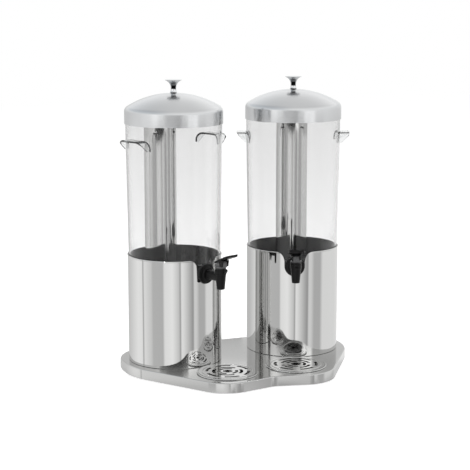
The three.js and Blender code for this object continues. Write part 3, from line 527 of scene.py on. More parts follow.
def base_tray():
    bm = chain(bmesh.new(), base_outline())
    rim_edges = bm.edges[:]
    for sign in (-1, 1):
        chain(bm, [Arc(sign * tray_out, -tray_front, CUP_HOLE, 0, 2 * math.pi, 96)], closed=False)
    bmesh.ops.remove_doubles(bm, verts=bm.verts, dist=0.001)
    turn(bm, "X", -90)
    rim_edges = [e for e in rim_edges if e.is_valid]
    bmesh.ops.triangle_fill(bm, use_beauty=True, edges=bm.edges, normal=(0, 0, 1))
    skirt = bmesh.ops.extrude_edge_only(bm, edges=rim_edges)
    low = [g for g in skirt["geom"] if isinstance(g, bmesh.types.BMVert)]
    bmesh.ops.translate(bm, vec=(0, 0, BASE_FOOT - BASE_TOP), verts=low)
    bmesh.ops.bevel(bm, geom=rim_edges, offset=BASE_EDGE, offset_type="OFFSET", segments=4, profile=0.5,
                    affect="EDGES", material=-1)
    bmesh.ops.recalc_face_normals(bm, faces=bm.faces)
    flat = [f for f in bm.faces if abs(f.normal.z) > 0.999]
    bmesh.ops.inset_region(bm, faces=flat, thickness=FACE_INSET)
    bmesh.ops.solidify(bm, geom=bm.faces[:], thickness=BASE_SHEET)
    bmesh.ops.recalc_face_normals(bm, faces=bm.faces)
    return shift(bm, 0, TANK_AXIS.y, BASE_TOP)


keep_true(settle(base_tray(), "base_tray", "stand", "base_steel", ["base_shell"]))

# %% [markdown]
# ## The feet
# Six moulded rubber feet keep the tray off the table. A foot is a short turned stub with a soft edge.

# %% Rubber feet
STUB_RADIUS, TREAD_RADIUS, TREAD_HEIGHT = 8, 7, 2
for place in ("front", "side", "back"):
    for side in SIDES:
        node = f"{place}_{side}_foot"
        low, high = node_mm(node)
        middle = (low + high) / 2
        rise = high.z - low.z
        foot = lathe([(0, 0), (TREAD_RADIUS, 0, 0.8), (STUB_RADIUS, TREAD_HEIGHT), (STUB_RADIUS, rise, 0.6),
                      (0, rise)], 40, closed=False)
        settle(shift(foot, middle.x, middle.y, low.z), f"{node}_stub", "stand", "black_rubber", [node])

# %% [markdown]
# ## The sleeves
# Each sleeve is sheet rolled into a drum, with a turned-in foot, a small bead at the top and a notch for the tap. The
# drum is spun from its section, and a keyhole outline cuts the notch: two lips that flare out like a quarter of an
# ellipse, over a half circle. Its inside keeps the duller mill finish.

# %% Sleeves
SLEEVE_SHEET, TURNED_IN, BEAD = 1, 9, 1
NOTCH_HALF, NOTCH_FLARE, FLARE_HEIGHT, LIP_STEPS = 21, 16, 21, 12


def notch_tool():
    foot = SLEEVE_TOP - FLARE_HEIGHT
    wide = NOTCH_HALF + NOTCH_FLARE
    turns = [math.pi / 2 * i / LIP_STEPS for i in range(LIP_STEPS + 1)]
    lip = [(wide - NOTCH_FLARE * math.cos(a), foot + FLARE_HEIGHT * math.sin(a)) for a in turns]
    under = [Arc(0, TAP_HEIGHT, NOTCH_HALF, 0, -math.pi, 48)]
    outline = lip[::-1] + under + [(-x, z) for x, z in lip]
    outline = [(wide, SLEEVE_TOP + OVER)] + outline + [(-wide, SLEEVE_TOP + OVER)]
    return turn(plate(outline, -SLEEVE_RADIUS * 1.25, -SLEEVE_RADIUS / 2), "Z", 90)


def sleeve_drum():
    inner, bead = SLEEVE_RADIUS - SLEEVE_SHEET, SLEEVE_RADIUS + BEAD
    floor = SLEEVE_FOOT + SLEEVE_SHEET
    drum = lathe([(inner - TURNED_IN, SLEEVE_FOOT), (SLEEVE_RADIUS, SLEEVE_FOOT, 0.8),
                  (SLEEVE_RADIUS, SLEEVE_TOP - 2.6), (bead, SLEEVE_TOP - 1.7, 0.5), (bead, SLEEVE_TOP, 0.9),
                  (inner, SLEEVE_TOP, 0.4), (inner, floor), (inner - TURNED_IN, floor)], 240)
    drum = carved(drum, notch_tool())
    for face in drum.faces:
        middle = face.calc_center_median()
        inward = Vector((middle.x, middle.y)).length < inner + 0.2 and middle.z > SLEEVE_FOOT + 0.5
        face.material_index = int(inward)
    return drum


for side in SIDES:
    keep_true(settle(sleeve_drum(), f"{side}_sleeve_drum", "stand", "polished_steel", [f"{side}_sleeve"], side,
                     [sleeve_steel, sleeve_inside_steel]))

# %% [markdown]
# ## The tanks
# A tank is one clear moulding that widens a little to its rim, so that it leaves the mould. Its wall is spun as one
# closed section, inside and outside, because a clear material needs the true thickness. The tap's hole is cut through.

# %% Tanks
TANK_FLOOR, SHANK_HOLE = 4, 10.5


def tank_radius(height):
    return TANK_FOOT_RADIUS + (height - TANK_FOOT) * TANK_DRAFT


def way_out(bm, height=0):
    """Lays a shape that was turned about z along the way out of the tap."""
    return shift(turn(bm, "Y", 90), 0, 0, height)


def tank_wall():
    floor_top = TANK_FOOT + TANK_FLOOR
    inner = TANK_RIM_RADIUS - TANK_WALL
    wall = lathe([(0, TANK_FOOT), (TANK_FOOT_RADIUS, TANK_FOOT, 5), (TANK_RIM_RADIUS, TANK_TOP, 1.2),
                  (inner, TANK_TOP, 1.2), (tank_radius(floor_top) - TANK_WALL, floor_top, 3), (0, floor_top)],
                 192, closed=False)
    return carved(wall, way_out(rod(SHANK_HOLE, TANK_FOOT_RADIUS / 2, TANK_RIM_RADIUS + OVER, 64), TAP_HEIGHT))


for side in SIDES:
    keep_true(settle(tank_wall(), f"{side}_tank_wall", f"{side}_tank_unit", "clear_tank", [f"{side}_tank"], side))

# %% [markdown]
# ## The ears
# Two clear ears on each tank are for lifting it: a flat bar, turned down at both ends, that bows out from the wall. An
# arch is pushed outwards, kept inside a round plan, and cut to the tank's own curve. A wedge is cut off below, so that
# the ear gets thinner outwards, and the slice next to the wall is the weld seam, with a finish of its own.

# %% Ears
EAR_REACH, EAR_ARC, EAR_HALF, EAR_THICK, EAR_CORNER = 117.5, 150, 36, 3.5, 16
EAR_LIP, SEAM_OUT = 2, 0.9
ear_low, ear_high = node_mm("left_outer_handle")


def tank_cone(gap):
    """The tank's outside round the ears, a gap larger."""
    low, high = ear_low.z - 4 * OVER, ear_high.z + 4 * OVER
    return lathe([(0, low), (tank_radius(low) + gap, low), (tank_radius(high) + gap, high), (0, high)], 192,
                 closed=False)


def ear():
    foot, top = ear_low.z, ear_high.z
    outer = [(-EAR_HALF, foot, 1), (-EAR_HALF, top, EAR_CORNER), (EAR_HALF, top, EAR_CORNER), (EAR_HALF, foot, 1)]
    half, under, inner_corner = EAR_HALF - EAR_THICK, top - EAR_THICK, EAR_CORNER - EAR_THICK
    inner = [(half, foot, 1), (half, under, inner_corner), (-half, under, inner_corner), (-half, foot, 1)]
    bar = turn(plate(outer + inner, -EAR_REACH - OVER, -EAR_REACH / 2), "Z", 90)
    plan = rod(EAR_ARC, foot - 2 * OVER, top + 2 * OVER, 256)
    bar = carved(bar, shift(plan, EAR_REACH - EAR_ARC), "INTERSECT")
    root, tip, past = tank_radius(foot) + 1, EAR_REACH - EAR_LIP, EAR_REACH + OVER
    below = plate([(root, foot - OVER), (past, foot - OVER), (past, under - 1), (tip, under - 1), (root, foot)],
                  -EAR_HALF * 1.5, EAR_HALF * 1.5)
    bar = carved(bar, below)
    seam = carved(carved(bar.copy(), tank_cone(SEAM_OUT), "INTERSECT"), tank_cone(CLEAR))
    for face in seam.faces:
        face.material_index = 1
    return joined(carved(bar, tank_cone(SEAM_OUT)), seam)


for side in SIDES:
    for place, way in (("outer", -90), ("inner", 90)):
        soften(settle(turn(ear(), "Z", way), f"{side}_{place}_ear", f"{side}_tank_unit", "clear_tank",
                      [f"{side}_{place}_handle"], side, [ear_plastic, ear_seam]), 0.5)

# %% [markdown]
# ## The lids
# A lid is a spun dome with a rolled shoulder and a short skirt. Two pairs of arcs drawn by spinning a point, one
# inside the other, give its section. ARC_GAP keeps the ends of a pair apart, so that an edge can join them.

# %% Lids
LID_RADIUS, LID_SHEET, DOME, SHOULDER, SCREW_HOLE = 100, 1, 180, 12, 3.2
ARC_GAP = 0.004
dome_centre = LID_TOP - DOME
shoulder_height = dome_centre + math.sqrt((DOME - SHOULDER) ** 2 - (LID_RADIUS - SHOULDER) ** 2)


def lid_dome():
    meet = math.atan2(shoulder_height - dome_centre, LID_RADIUS - SHOULDER)
    skins = []
    for depth in (0, LID_SHEET):
        hole = math.acos(SCREW_HOLE / (DOME - depth))
        skins.append([(LID_RADIUS - depth, LID_FOOT),
                      Arc(LID_RADIUS - SHOULDER, shoulder_height, SHOULDER - depth, 0, meet, 12),
                      Arc(0, dome_centre, DOME - depth, meet + ARC_GAP, hole, 28)])
    outer, inner = skins
    back = [Arc(a.x, a.z, a.radius, a.end, a.start, a.steps) for a in inner[:0:-1]] + inner[:1]
    return lathe(outer + back, 192)


for side in SIDES:
    settle(lid_dome(), f"{side}_lid_dome", f"{side}_lid_unit", "lid_steel", [f"{side}_lid_shell"], side)

# %% [markdown]
# ## The knobs
# The knob is a turned hourglass: a flared foot, a slim waist and a trumpet that opens to a flat disc. It is chromed,
# and the black blots on its white stem are painted reflection in the chrome's base colour.

# %% Knobs
SCREW_BORE, SCREW_DEPTH = 2.8, 12
knob_low, knob_high = node_mm("left_lid_knob")


def knob():
    foot, top = knob_low.z, knob_high.z
    end = foot + SCREW_DEPTH
    return lathe([(SCREW_BORE, foot), (7.2, foot, 0.4), (7.2, foot + 1.2, 0.5), (5.9, foot + 3.5, 4),
                  (5.6, foot + 10.5, 12), (6.3, foot + 14.5, 10), (8.1, foot + 18.4, 10), (11.4, foot + 22.3, 10),
                  (17, foot + 25.2, 0.3), (17, foot + 26.2, 0.5), (9, top - 0.2, 20), (0, top), (0, end),
                  (SCREW_BORE, end)], 96)


for side in SIDES:
    settle(knob(), f"{side}_knob_turned", f"{side}_lid_unit", "chrome_knob", [f"{side}_lid_knob"], side)

# %% [markdown]
# ## The ice tubes
# A drawn steel tube hangs in the drink and is filled with ice. It stands back from the tank's middle, away from the
# tap, so the bracket under the lid is a spun cup over the tube's mouth with an arm to the screw in the middle.

# %% Ice tubes and their brackets
TUBE_RADIUS, TUBE_WALL = 33, 1
BRACKET_SHEET, ARM_HALF, BOSS_RADIUS = 1.4, 11, 11
tube_low, tube_high = node_mm("left_ice_tube")
holder_low, holder_high = node_mm("left_tube_holder")
TUBE_SETBACK = ((tube_low + tube_high) / 2 - TANK_AXIS).xy.length
print("ice tube behind the tank's middle by", round(TUBE_SETBACK, 1), "mm")


def ice_tube():
    corners = [(TUBE_RADIUS - TUBE_WALL, tube_low.z), (TUBE_RADIUS, tube_low.z), (TUBE_RADIUS, tube_high.z),
               (TUBE_RADIUS - TUBE_WALL, tube_high.z)]
    return shift(lathe([corner + (0.3,) for corner in corners], 128), -TUBE_SETBACK)


def tube_bracket():
    foot = tube_high.z + CLEAR
    top = foot + BRACKET_SHEET
    mouth, skirt = TUBE_RADIUS + CLEAR, TUBE_RADIUS + CLEAR + BRACKET_SHEET
    cup = lathe([(0, foot), (mouth, foot, 0.6), (mouth, holder_low.z), (skirt, holder_low.z), (skirt, top, 2),
                 (0, top)], 96, closed=False)
    arm = plate([(-TUBE_SETBACK, foot), (0, foot), (0, top), (-TUBE_SETBACK, top)], -ARM_HALF, ARM_HALF)
    boss = lathe([(0, foot), (BOSS_RADIUS, foot), (BOSS_RADIUS, holder_high.z, 0.5), (0, holder_high.z)], 64,
                 closed=False)
    whole = carved(carved(shift(cup, -TUBE_SETBACK), arm, "UNION"), boss, "UNION")
    return carved(whole, rod(SCREW_BORE, foot - OVER, holder_high.z + OVER))


for side in SIDES:
    body = f"{side}_lid_unit"
    keep_true(settle(ice_tube(), f"{side}_ice_tube_drawn", body, "polished_steel", [f"{side}_ice_tube"], side,
                     [tube_steel]))
    settle(tube_bracket(), f"{side}_tube_bracket", body, "satin_steel", [f"{side}_tube_holder"], side)

# %% [markdown]
# ## The drip cups and their grids
# A spun dish hangs in each hole of the base by its rim, and a slotted plate lies in the rim. The grid's slots are
# pieces of rings: a filled disc with curved holes, pushed to its thickness. Each row of slots has its place as a share
# of the plate's radius, a count, and a turn in shares of the pitch. One ring below centres the plate in its cup, and
# one on top frames the slots.

# %% Drip cups
CUP_SHEET, DISH_RADIUS, CUP_RADIUS, CUP_RIM = 0.8, 47.5, 55, 62
GRID_RADIUS, GRID_SHEET, SLOT_WIDTH, MIDDLE_HOLE = 58.6, 1.2, 6.2, 10
SLOT_ROW_SHARES = ((0.313, 3, 0.0), (0.482, 4, 0.5), (0.719, 6, 0.0))
SLOT_HALF_SHARE = 0.34
cup_low, cup_high = node_mm("left_drip_cup")
grid_low, grid_high = node_mm("left_drip_grid")


def drip_cup():
    foot, top = cup_low.z, cup_high.z
    rim = BASE_TOP + CLEAR
    ledge, bend, floor = rim + CUP_SHEET, rim - 7.5, foot + CUP_SHEET
    wall = [(0, foot), (DISH_RADIUS, foot, 2), (CUP_RADIUS, bend, 3), (CUP_RADIUS, rim, 0.5), (CUP_RIM, rim, 0.5),
            (CUP_RIM, top, 1), (GRID_RADIUS + CUP_SHEET, top, 0.4), (GRID_RADIUS + CUP_SHEET, ledge, 0.3),
            (CUP_RADIUS - CUP_SHEET, ledge, 0.6), (CUP_RADIUS - CUP_SHEET, bend, 2),
            (DISH_RADIUS - CUP_SHEET, floor, 2), (0, floor)]
    return shift(lathe(wall, 144, closed=False), TRAY_REACH)


def ring_slot(radius, middle, half):
    near = Arc(0, 0, radius - SLOT_WIDTH / 2, middle - half, middle + half, 10)
    far = Arc(0, 0, radius + SLOT_WIDTH / 2, middle + half, middle - half, 10)
    return [near, far]


def near_circle(radius, steps, gap):
    """A circle as one arc, whose ends an edge joins."""
    return [Arc(0, 0, radius, 0, 2 * math.pi - gap, steps)]


def drip_grid():
    slots = [near_circle(MIDDLE_HOLE, 40, 0.1)]
    for share, count, turned in SLOT_ROW_SHARES:
        pitch = 2 * math.pi / count
        slots += [ring_slot(share * GRID_RADIUS, (i + turned) * pitch, pitch * SLOT_HALF_SHARE) for i in range(count)]
    disc = plate(near_circle(GRID_RADIUS, 120, 0.05), 0, GRID_SHEET, slots)
    return shift(turn(turn(disc, "X", 90), "Z", -90), TRAY_REACH, 0, grid_high.z - GRID_SHEET)


def grid_ring(inner, outer, foot, rise):
    ring = lathe([(inner, foot), (outer, foot), (outer, foot + rise, 0.4), (inner, foot + rise, 0.4)], 96)
    return shift(ring, TRAY_REACH)


for side in SIDES:
    keep_true(settle(drip_cup(), f"{side}_cup_dish", f"{side}_cup_unit", "tray_steel", [f"{side}_drip_cup"], side))
    rings = [grid_ring(52.4, 53.6, grid_low.z, 1.3), grid_ring(50, 52, grid_high.z - 0.2, 0.9)]
    settle(joined(drip_grid(), *rings), f"{side}_grid_plate", f"{side}_grid_unit", "tray_steel",
           [f"{side}_drip_grid"], side)

# %% [markdown]
# ## The taps
# A tap's body is one black moulding: a shank through the tank's wall, a stepped flange that presses the gasket, and an
# upright barrel with a lug, which narrows to the spout. Turned solids are added, then the bores are cut as a mould's
# cores would.

# %% Tap bodies
SHANK_RADIUS, SHANK_END, SPOUT_BORE, VALVE_BORE = 10, 77.2, 6, 8.5
GASKET_THICK = 3
body_top = TAP_HEIGHT + 16
spout_low = TAP_HEIGHT - 25
wall_out = tank_radius(TAP_HEIGHT)
flange_back = wall_out + GASKET_THICK + CLEAR


def tap_body():
    shank = way_out(lathe([(0, SHANK_END), (SHANK_RADIUS, SHANK_END, 0.6), (SHANK_RADIUS, SPOUT_REACH),
                           (0, SPOUT_REACH)], 64, closed=False))
    steps = [(0, 0), (20, 0, 0.5), (20, 2.4, 0.8), (17.7, 2.6), (17.5, 3.8, 0.6), (14.9, 4.1), (14.7, 5.3, 0.6),
             (12, 7, 1.5), (9, 7.2), (0, 7.2)]
    flange = way_out(shift(lathe(steps, 80, closed=False), z=flange_back))
    arm = carved(shift(shank, z=TAP_HEIGHT), shift(flange, z=TAP_HEIGHT), "UNION")
    barrel = lathe([(0, spout_low), (8, spout_low, 1), (10.75, TAP_HEIGHT + 5, 2), (11.5, TAP_HEIGHT + 5.2, 0.3),
                    (11.5, body_top, 0.6), (0, body_top)], 80, closed=False)
    arm = carved(arm, shift(barrel, SPOUT_REACH), "UNION")
    lug = plate([(0, body_top - 8), (11.5, body_top - 8), (17, body_top - 4.5, 2), (17, body_top + 1, 0.8),
                 (12, body_top + 1), (11.8, body_top - 0.3), (0, body_top - 0.3)], -3, 3)
    arm = carved(arm, shift(lug, SPOUT_REACH), "UNION")
    seat = TAP_HEIGHT - 7
    low, high = spout_low - OVER, body_top + OVER
    bores = lathe([(0, low), (SPOUT_BORE, low), (SPOUT_BORE, seat), (VALVE_BORE, seat), (VALVE_BORE, high),
                   (0, high)], 64, closed=False)
    arm = carved(arm, shift(bores, SPOUT_REACH))
    return carved(arm, way_out(rod(SPOUT_BORE, SHANK_END - OVER, SPOUT_REACH, 48), TAP_HEIGHT))


for side in SIDES:
    settle(tap_body(), f"{side}_tap_moulding", f"{side}_tank_unit", "black_plastic", [f"{side}_tap_body"], side)

# %% [markdown]
# ## The tap's gasket
# A silicone ring seals the tap against the tank. Its back is hollow, because the tank's wall is round: the points of a
# flat ring are pushed onto the wall's curve.

# %% Gaskets
def outer_gasket():
    bore = SHANK_RADIUS + CLEAR
    back = [(bore, 0)] + [(radius, 0) for radius in range(12, 21, 2)]
    ring = way_out(lathe(back + [(20, GASKET_THICK, 0.8), (bore, GASKET_THICK)], 80), TAP_HEIGHT)
    for point in ring.verts:
        if point.co.x < 0.01:
            point.co.x = math.sqrt((wall_out + CLEAR) ** 2 - point.co.y ** 2) - wall_out
    return shift(ring, wall_out)


for side in SIDES:
    settle(outer_gasket(), f"{side}_gasket_ring", f"{side}_tank_unit", "black_silicone",
           [f"{side}_outer_gasket"], side)

# %% [markdown]
# ## The bonnet
# The bonnet closes the valve's top and holds the lever's pin in a block with a round nose. The lever's line is here
# too, because the block slants with it: each point is a reach, a rise over the tap's middle and a thickness.

# %% Bonnets
PIN_REACH, PIN_HEIGHT, PIN_HOLE = 9, TAP_HEIGHT + 29.5, 1.6
BONNET_RADIUS, BONNET_THICK, NOSE_RADIUS, STEM_BORE = 11.2, 2.4, 3.4, 2.3
LEVER_LINE = ((-9.5, 28.7, 3.8), (1, 33.2, 4.8), (18, 40.2, 4.6), (36.5, 47.2, 4.4))
LEVER_TAIL, LEVER_HUB, _, LEVER_TIP = LEVER_LINE
bonnet_low = TAP_HEIGHT + 18.6


def pin_bore():
    """The hole for the lever's pin, across the tap."""
    return shift(turn(rod(PIN_HOLE, -12, 12), "X", 90), PIN_REACH, 0, PIN_HEIGHT)


def bonnet():
    disc_top = bonnet_low + BONNET_THICK
    disc = lathe([(0, bonnet_low), (BONNET_RADIUS, bonnet_low, 0.3), (BONNET_RADIUS, disc_top, 0.8),
                  (0, disc_top)], 64, closed=False)
    slant = math.atan2(LEVER_HUB[1] - LEVER_TAIL[1], LEVER_HUB[0] - LEVER_TAIL[0])
    block = plate([(-11, disc_top - 0.3), (PIN_REACH + NOSE_RADIUS, disc_top - 0.3),
                   Arc(PIN_REACH, PIN_HEIGHT, NOSE_RADIUS, 0, math.pi / 2 + slant, 10),
                   (-11, PIN_HEIGHT - 4.2, 1.5)], -6, 6)
    whole = carved(disc, block, "UNION")
    stem_bore = rod(STEM_BORE, bonnet_low - OVER, PIN_HEIGHT + 2 * OVER)
    return shift(carved(carved(whole, stem_bore), pin_bore()), SPOUT_REACH)


for side in SIDES:
    soften(settle(bonnet(), f"{side}_bonnet_block", f"{side}_tank_unit", "grey_plastic",
                  [f"{side}_tap_bonnet"], side), 0.4)

# %% [markdown]
# ## The lever
# The lever is a curved bar that widens to a thumb paddle. Its side view is a chain of four points with a thickness,
# pushed sideways; its top view trims it; two cheeks hang down over the bonnet and take the pin. A pocket leaves room
# for the stem's head, round which the lever tilts.

# %% Levers
POCKET_HEIGHT = TAP_HEIGHT + 32.7
HALF_TRAVEL = 10
PADDLE_HALF, TAIL_HALF = 15.5, 8.5


def lever_edge(way):
    """The upper or lower edge of the lever's side view."""
    points = []
    for i, (reach, rise, thickness) in enumerate(LEVER_LINE):
        before, after = LEVER_LINE[max(i - 1, 0)], LEVER_LINE[min(i + 1, 3)]
        slope = math.atan2(after[1] - before[1], after[0] - before[0])
        out = way * thickness / 2
        point = (reach - math.sin(slope) * out, TAP_HEIGHT + rise + math.cos(slope) * out)
        points.append(point + ((14,) if 0 < i < 3 else ()))
    return points


def tilted_box(back, front, low, high, half):
    """A box across the lever, leaning as the stem's head does halfway through its travel."""
    box = plate([(-back, low), (front, low), (front, high), (-back, high)], -half, half)
    return shift(turn(box, "Y", -HALF_TRAVEL), 0, 0, POCKET_HEIGHT)


def lever():
    side_view = plate(lever_edge(-1) + lever_edge(1)[::-1], -16, 16)
    tail, tip = LEVER_TAIL[0] - LEVER_TAIL[2], LEVER_TIP[0]
    half_plan = [(tail, TAIL_HALF), (12, TAIL_HALF, 10), (24, PADDLE_HALF, 10), (tip, PADDLE_HALF, 6)]
    plan = [(p[0], -p[1]) + p[2:] for p in half_plan] + half_plan[::-1]
    plan_view = shift(turn(plate(plan, -30, 30), "X", 90), z=PIN_HEIGHT)
    bar = carved(side_view, plan_view, "INTERSECT")
    top = TAP_HEIGHT + LEVER_HUB[1]
    cheek_foot = PIN_HEIGHT - 7.2
    cheeks = plate([(PIN_REACH - 3.5, cheek_foot, 1), (PIN_REACH + 4.5, cheek_foot, 1),
                    (PIN_REACH + 6.5, top + 2), (PIN_REACH - 5.5, top)], -TAIL_HALF, TAIL_HALF)
    low = bonnet_low + BONNET_THICK
    between = plate([(-16, low), (PIN_REACH + 11.5, low), (PIN_REACH + 11.5, top + 2.3), (PIN_REACH - 5.5, top + 0.3),
                     (-16, PIN_HEIGHT - 5)], -6.3, 6.3)
    bar = carved(bar, carved(cheeks, between), "UNION")
    bar = carved(bar, tilted_box(6.1, 4.3, 0, 17, 4.3))
    bar = carved(bar, tilted_box(4.3, 2.5, -11.3, 5, 2.4))
    return shift(carved(bar, pin_bore()), SPOUT_REACH)


for side in SIDES:
    soften(settle(lever(), f"{side}_lever_bar", f"{side}_lever_unit", "black_plastic", [f"{side}_tap_lever"],
                  side), 0.5)

# %% [markdown]
# ## The inner pieces
# Screws, rings, nuts, plugs, pins and springs keep their solids from the frame, which are already right, and only get
# their finish.

# %% Finishes for the solids that stay
STAYING = {"tank_shelf": "satin_steel", "knob_screw": "satin_steel", "tube_plug": "satin_steel",
           "inner_gasket": "black_silicone", "tap_nut": "black_plastic", "stem_seal": "black_silicone",
           "tap_spring": "polished_steel", "seat_plug": "black_silicone", "tap_stem": "black_plastic",
           "lever_pin": "pin_steel"}
for side in SIDES:
    for kind, slot in STAYING.items():
        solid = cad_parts[f"{side}_{kind}"]
        solid.data.materials.clear()
        solid.data.materials.append(FINISHES[slot])
print("solids with a new finish:", 2 * len(STAYING))

# %% [markdown]
# The valve spring gets shorter as the valve opens, its top under the bonnet and its foot rising with the plug; here
# each spring only gets a mesh of its own.

# %% Each spring's own mesh
for side in SIDES:
    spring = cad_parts[f"{side}_tap_spring"]
    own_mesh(spring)

# %% [markdown]
# ## The studio
# Bright metal shows the room, so the room matters more than the lamps. A ring of upright white and grey cards stands
# 1.4 m round the object. Because it is that near, the two sleeves see its cards a few degrees apart, as in a real
# room. Four rows of cards stand over one another: the base's skirt mirrors the lowest, the sleeves the next, the
# base's plate the third and the lids the top one. A row is a list of azimuths in degrees, from the camera's side and
# positive to its right, each with a grey level from 0 to 255. The third row is twice as strong, since two sheets
# mirror its light.

# %% Rows of cards
ONCE_MIRRORED, TWICE_MIRRORED = 1.5, 3.0
LOW_BANDS = ((-180, 160), (-140, 185), (-97, 228), (-84, 225), (-81, 150), (-78, 222), (-60, 200), (-55, 180),
             (-32, 178), (-28, 222), (-10, 230), (6, 195), (8, 165), (10, 165), (12, 225), (16, 222), (42, 148),
             (46, 208), (52, 205), (60, 172), (76, 172), (84, 215), (110, 215), (180, 200))
HIGH_BANDS = ((-180, 215), (-171, 215), (-166, 170), (-136, 184), (-86, 204), (-57, 226), (-48, 255), (-38, 255),
              (-27, 228), (-18, 185), (13, 185), (17, 222), (24, 235), (60, 228), (100, 214), (150, 200), (171, 215),
              (180, 215))
PLATE_BANDS = ((-180, 133), (-136, 135), (-86, 150), (-57, 158), (-42, 165), (-27, 150), (-18, 122),
               (9, 60), (26, 60), (31, 205), (52, 205), (58, 133), (180, 133))
SKIRT_BANDS = ((-180, 185), (-75, 178), (-60, 188), (0, 205), (14, 175), (18, 150), (22, 155), (27, 190), (33, 160),
               (45, 155), (54, 165), (60, 192), (66, 165), (84, 182), (180, 185))
CARD_ROWS = ((-0.336, LOW_BANDS, ONCE_MIRRORED), (0.338, PLATE_BANDS, TWICE_MIRRORED),
             (0.415, HIGH_BANDS, ONCE_MIRRORED))


def band_ramp(tree, source, bands, light):
    """A row of cards as a colour ramp over the whole turn, whose 1 is the strongest row's light."""
    stops = []
    for degrees, level in bands:
        grey = linear("#" + f"{level:02X}" * 3)[:3]
        stops.append(((degrees + 180) / 360, [value * light / TWICE_MIRRORED for value in grey] + [1]))
    return colour_ramp(tree, source, stops)


print("cards:", len(SKIRT_BANDS), "stops on the skirt's row,", [len(bands) for _, bands, _ in CARD_ROWS], "over it")

# %% [markdown]
# The cards and the ceiling are there for mirror rays only. A light path node tells such rays: they have at least one
# glossy bounce behind them, and that stays true when they pass a clear wall afterwards.

# %% Which rays see the studio
def mirrored(tree):
    """1 for a ray that metal or gloss has mirrored on its way, also if clear plastic comes after, else 0."""
    path = add_node(tree, "ShaderNodeLightPath")
    return add_node(tree, "ShaderNodeMath", {"operation": "MINIMUM"}, links={0: path.outputs["Glossy Depth"]},
                    _1=1.0).outputs["Value"]


def seen_straight(tree):
    """1 for a ray from the camera, also if it came through clear plastic, else 0."""
    path = add_node(tree, "ShaderNodeLightPath")
    return add_node(tree, "ShaderNodeMath", {"operation": "MAXIMUM"},
                    links={0: path.outputs["Is Camera Ray"], 1: path.outputs["Is Transmission Ray"]}).outputs["Value"]


# %% [markdown]
# The ring is an open drum whose shader reads the azimuth and the height of each point. The rows follow one another
# upwards, and over them the cards fade to grey. A black oval card hangs in front of the object, across the foot of
# the row that the base's plate mirrors.

# %% The ring of cards
RING_RADIUS, RING_FOOT, RING_TOP = 1.4, -1.2, 1.0
ROW_BLEND = 0.006
FADE_FOOT, FADE_TOP, FADE_GREY = 0.45, 0.95, "#9A9B9B"
OVAL_AZIMUTH, OVAL_HALF_TURN = math.radians(-5), math.radians(38)
OVAL_HEIGHT, OVAL_HALF_HEIGHT, OVAL_GREY = 0.35, 0.038, "#161616"
camera_side = math.atan2(aim.x, aim.y)
ring_bm = bmesh.new()
bmesh.ops.create_cone(ring_bm, cap_ends=False, segments=180, radius1=RING_RADIUS, radius2=RING_RADIUS,
                      depth=RING_TOP - RING_FOOT)
bmesh.ops.translate(ring_bm, vec=(0, 0, (RING_TOP + RING_FOOT) / 2), verts=ring_bm.verts)
ring = new_object("card_ring", ring_bm)
cards = bpy.data.materials.new("grey_and_white_cards")
tree = bare_tree(cards)
place = add_node(tree, "ShaderNodeTexCoord")
turned_place = add_node(tree, "ShaderNodeVectorRotate", {"rotation_type": "Z_AXIS"},
                        links={"Vector": place.outputs["Object"]}, Angle=camera_side)
flat = add_node(tree, "ShaderNodeSeparateXYZ", links={"Vector": turned_place.outputs["Vector"]})
height = flat.outputs["Z"]
toward = add_node(tree, "ShaderNodeMath", {"operation": "MULTIPLY"}, links={0: flat.outputs["Y"]}, _1=-1.0)
azimuth = add_node(tree, "ShaderNodeMath", {"operation": "ARCTAN2"},
                   links={0: flat.outputs["X"], 1: toward.outputs["Value"]})
share = add_node(tree, "ShaderNodeMapRange", links={"Value": azimuth.outputs["Value"]}, _1=-math.pi, _2=math.pi)
walls = band_ramp(tree, share.outputs["Result"], SKIRT_BANDS, ONCE_MIRRORED)
for foot, bands, light in CARD_ROWS:
    row = band_ramp(tree, share.outputs["Result"], bands, light)
    walls = mixed(tree, smooth_step(tree, height, foot - ROW_BLEND, foot + ROW_BLEND), walls, row)
faded = mixed(tree, smooth_step(tree, height, FADE_FOOT, FADE_TOP), walls, linear(FADE_GREY))
# azimuth and height, over the oval's half turn and half height
spot = add_node(tree, "ShaderNodeCombineXYZ", links={"X": azimuth.outputs["Value"], "Y": height})
oval = add_node(tree, "ShaderNodeMapping", {"vector_type": "TEXTURE"}, links={"Vector": spot.outputs["Vector"]},
                Location=(OVAL_AZIMUTH, OVAL_HEIGHT, 0), Scale=(OVAL_HALF_TURN, OVAL_HALF_HEIGHT, 1))
reach = add_node(tree, "ShaderNodeVectorMath", {"operation": "LENGTH"}, links={0: oval.outputs["Vector"]})
full = mixed(tree, smooth_step(tree, reach.outputs["Value"], 0.9, 1.02), linear(OVAL_GREY), faded)
card_light = add_node(tree, "ShaderNodeEmission", links={"Color": full}, Strength=TWICE_MIRRORED)
cards_seen = either(tree, mirrored(tree), add_node(tree, "ShaderNodeBsdfTransparent"), card_light)
add_node(tree, "ShaderNodeOutputMaterial", links={"Surface": cards_seen.outputs["Shader"]})
ring.data.materials.append(cards)
print("card ring:", len(ring.data.polygons), "faces, radius", RING_RADIUS, "m")

# %% [markdown]
# Over the cards is the ceiling, white but bluish towards the left, where daylight comes in, and a little greyer right
# overhead, which is what the lids' domes mirror. The camera and clear plastic see plain white instead, and matt
# surfaces get an even grey light.

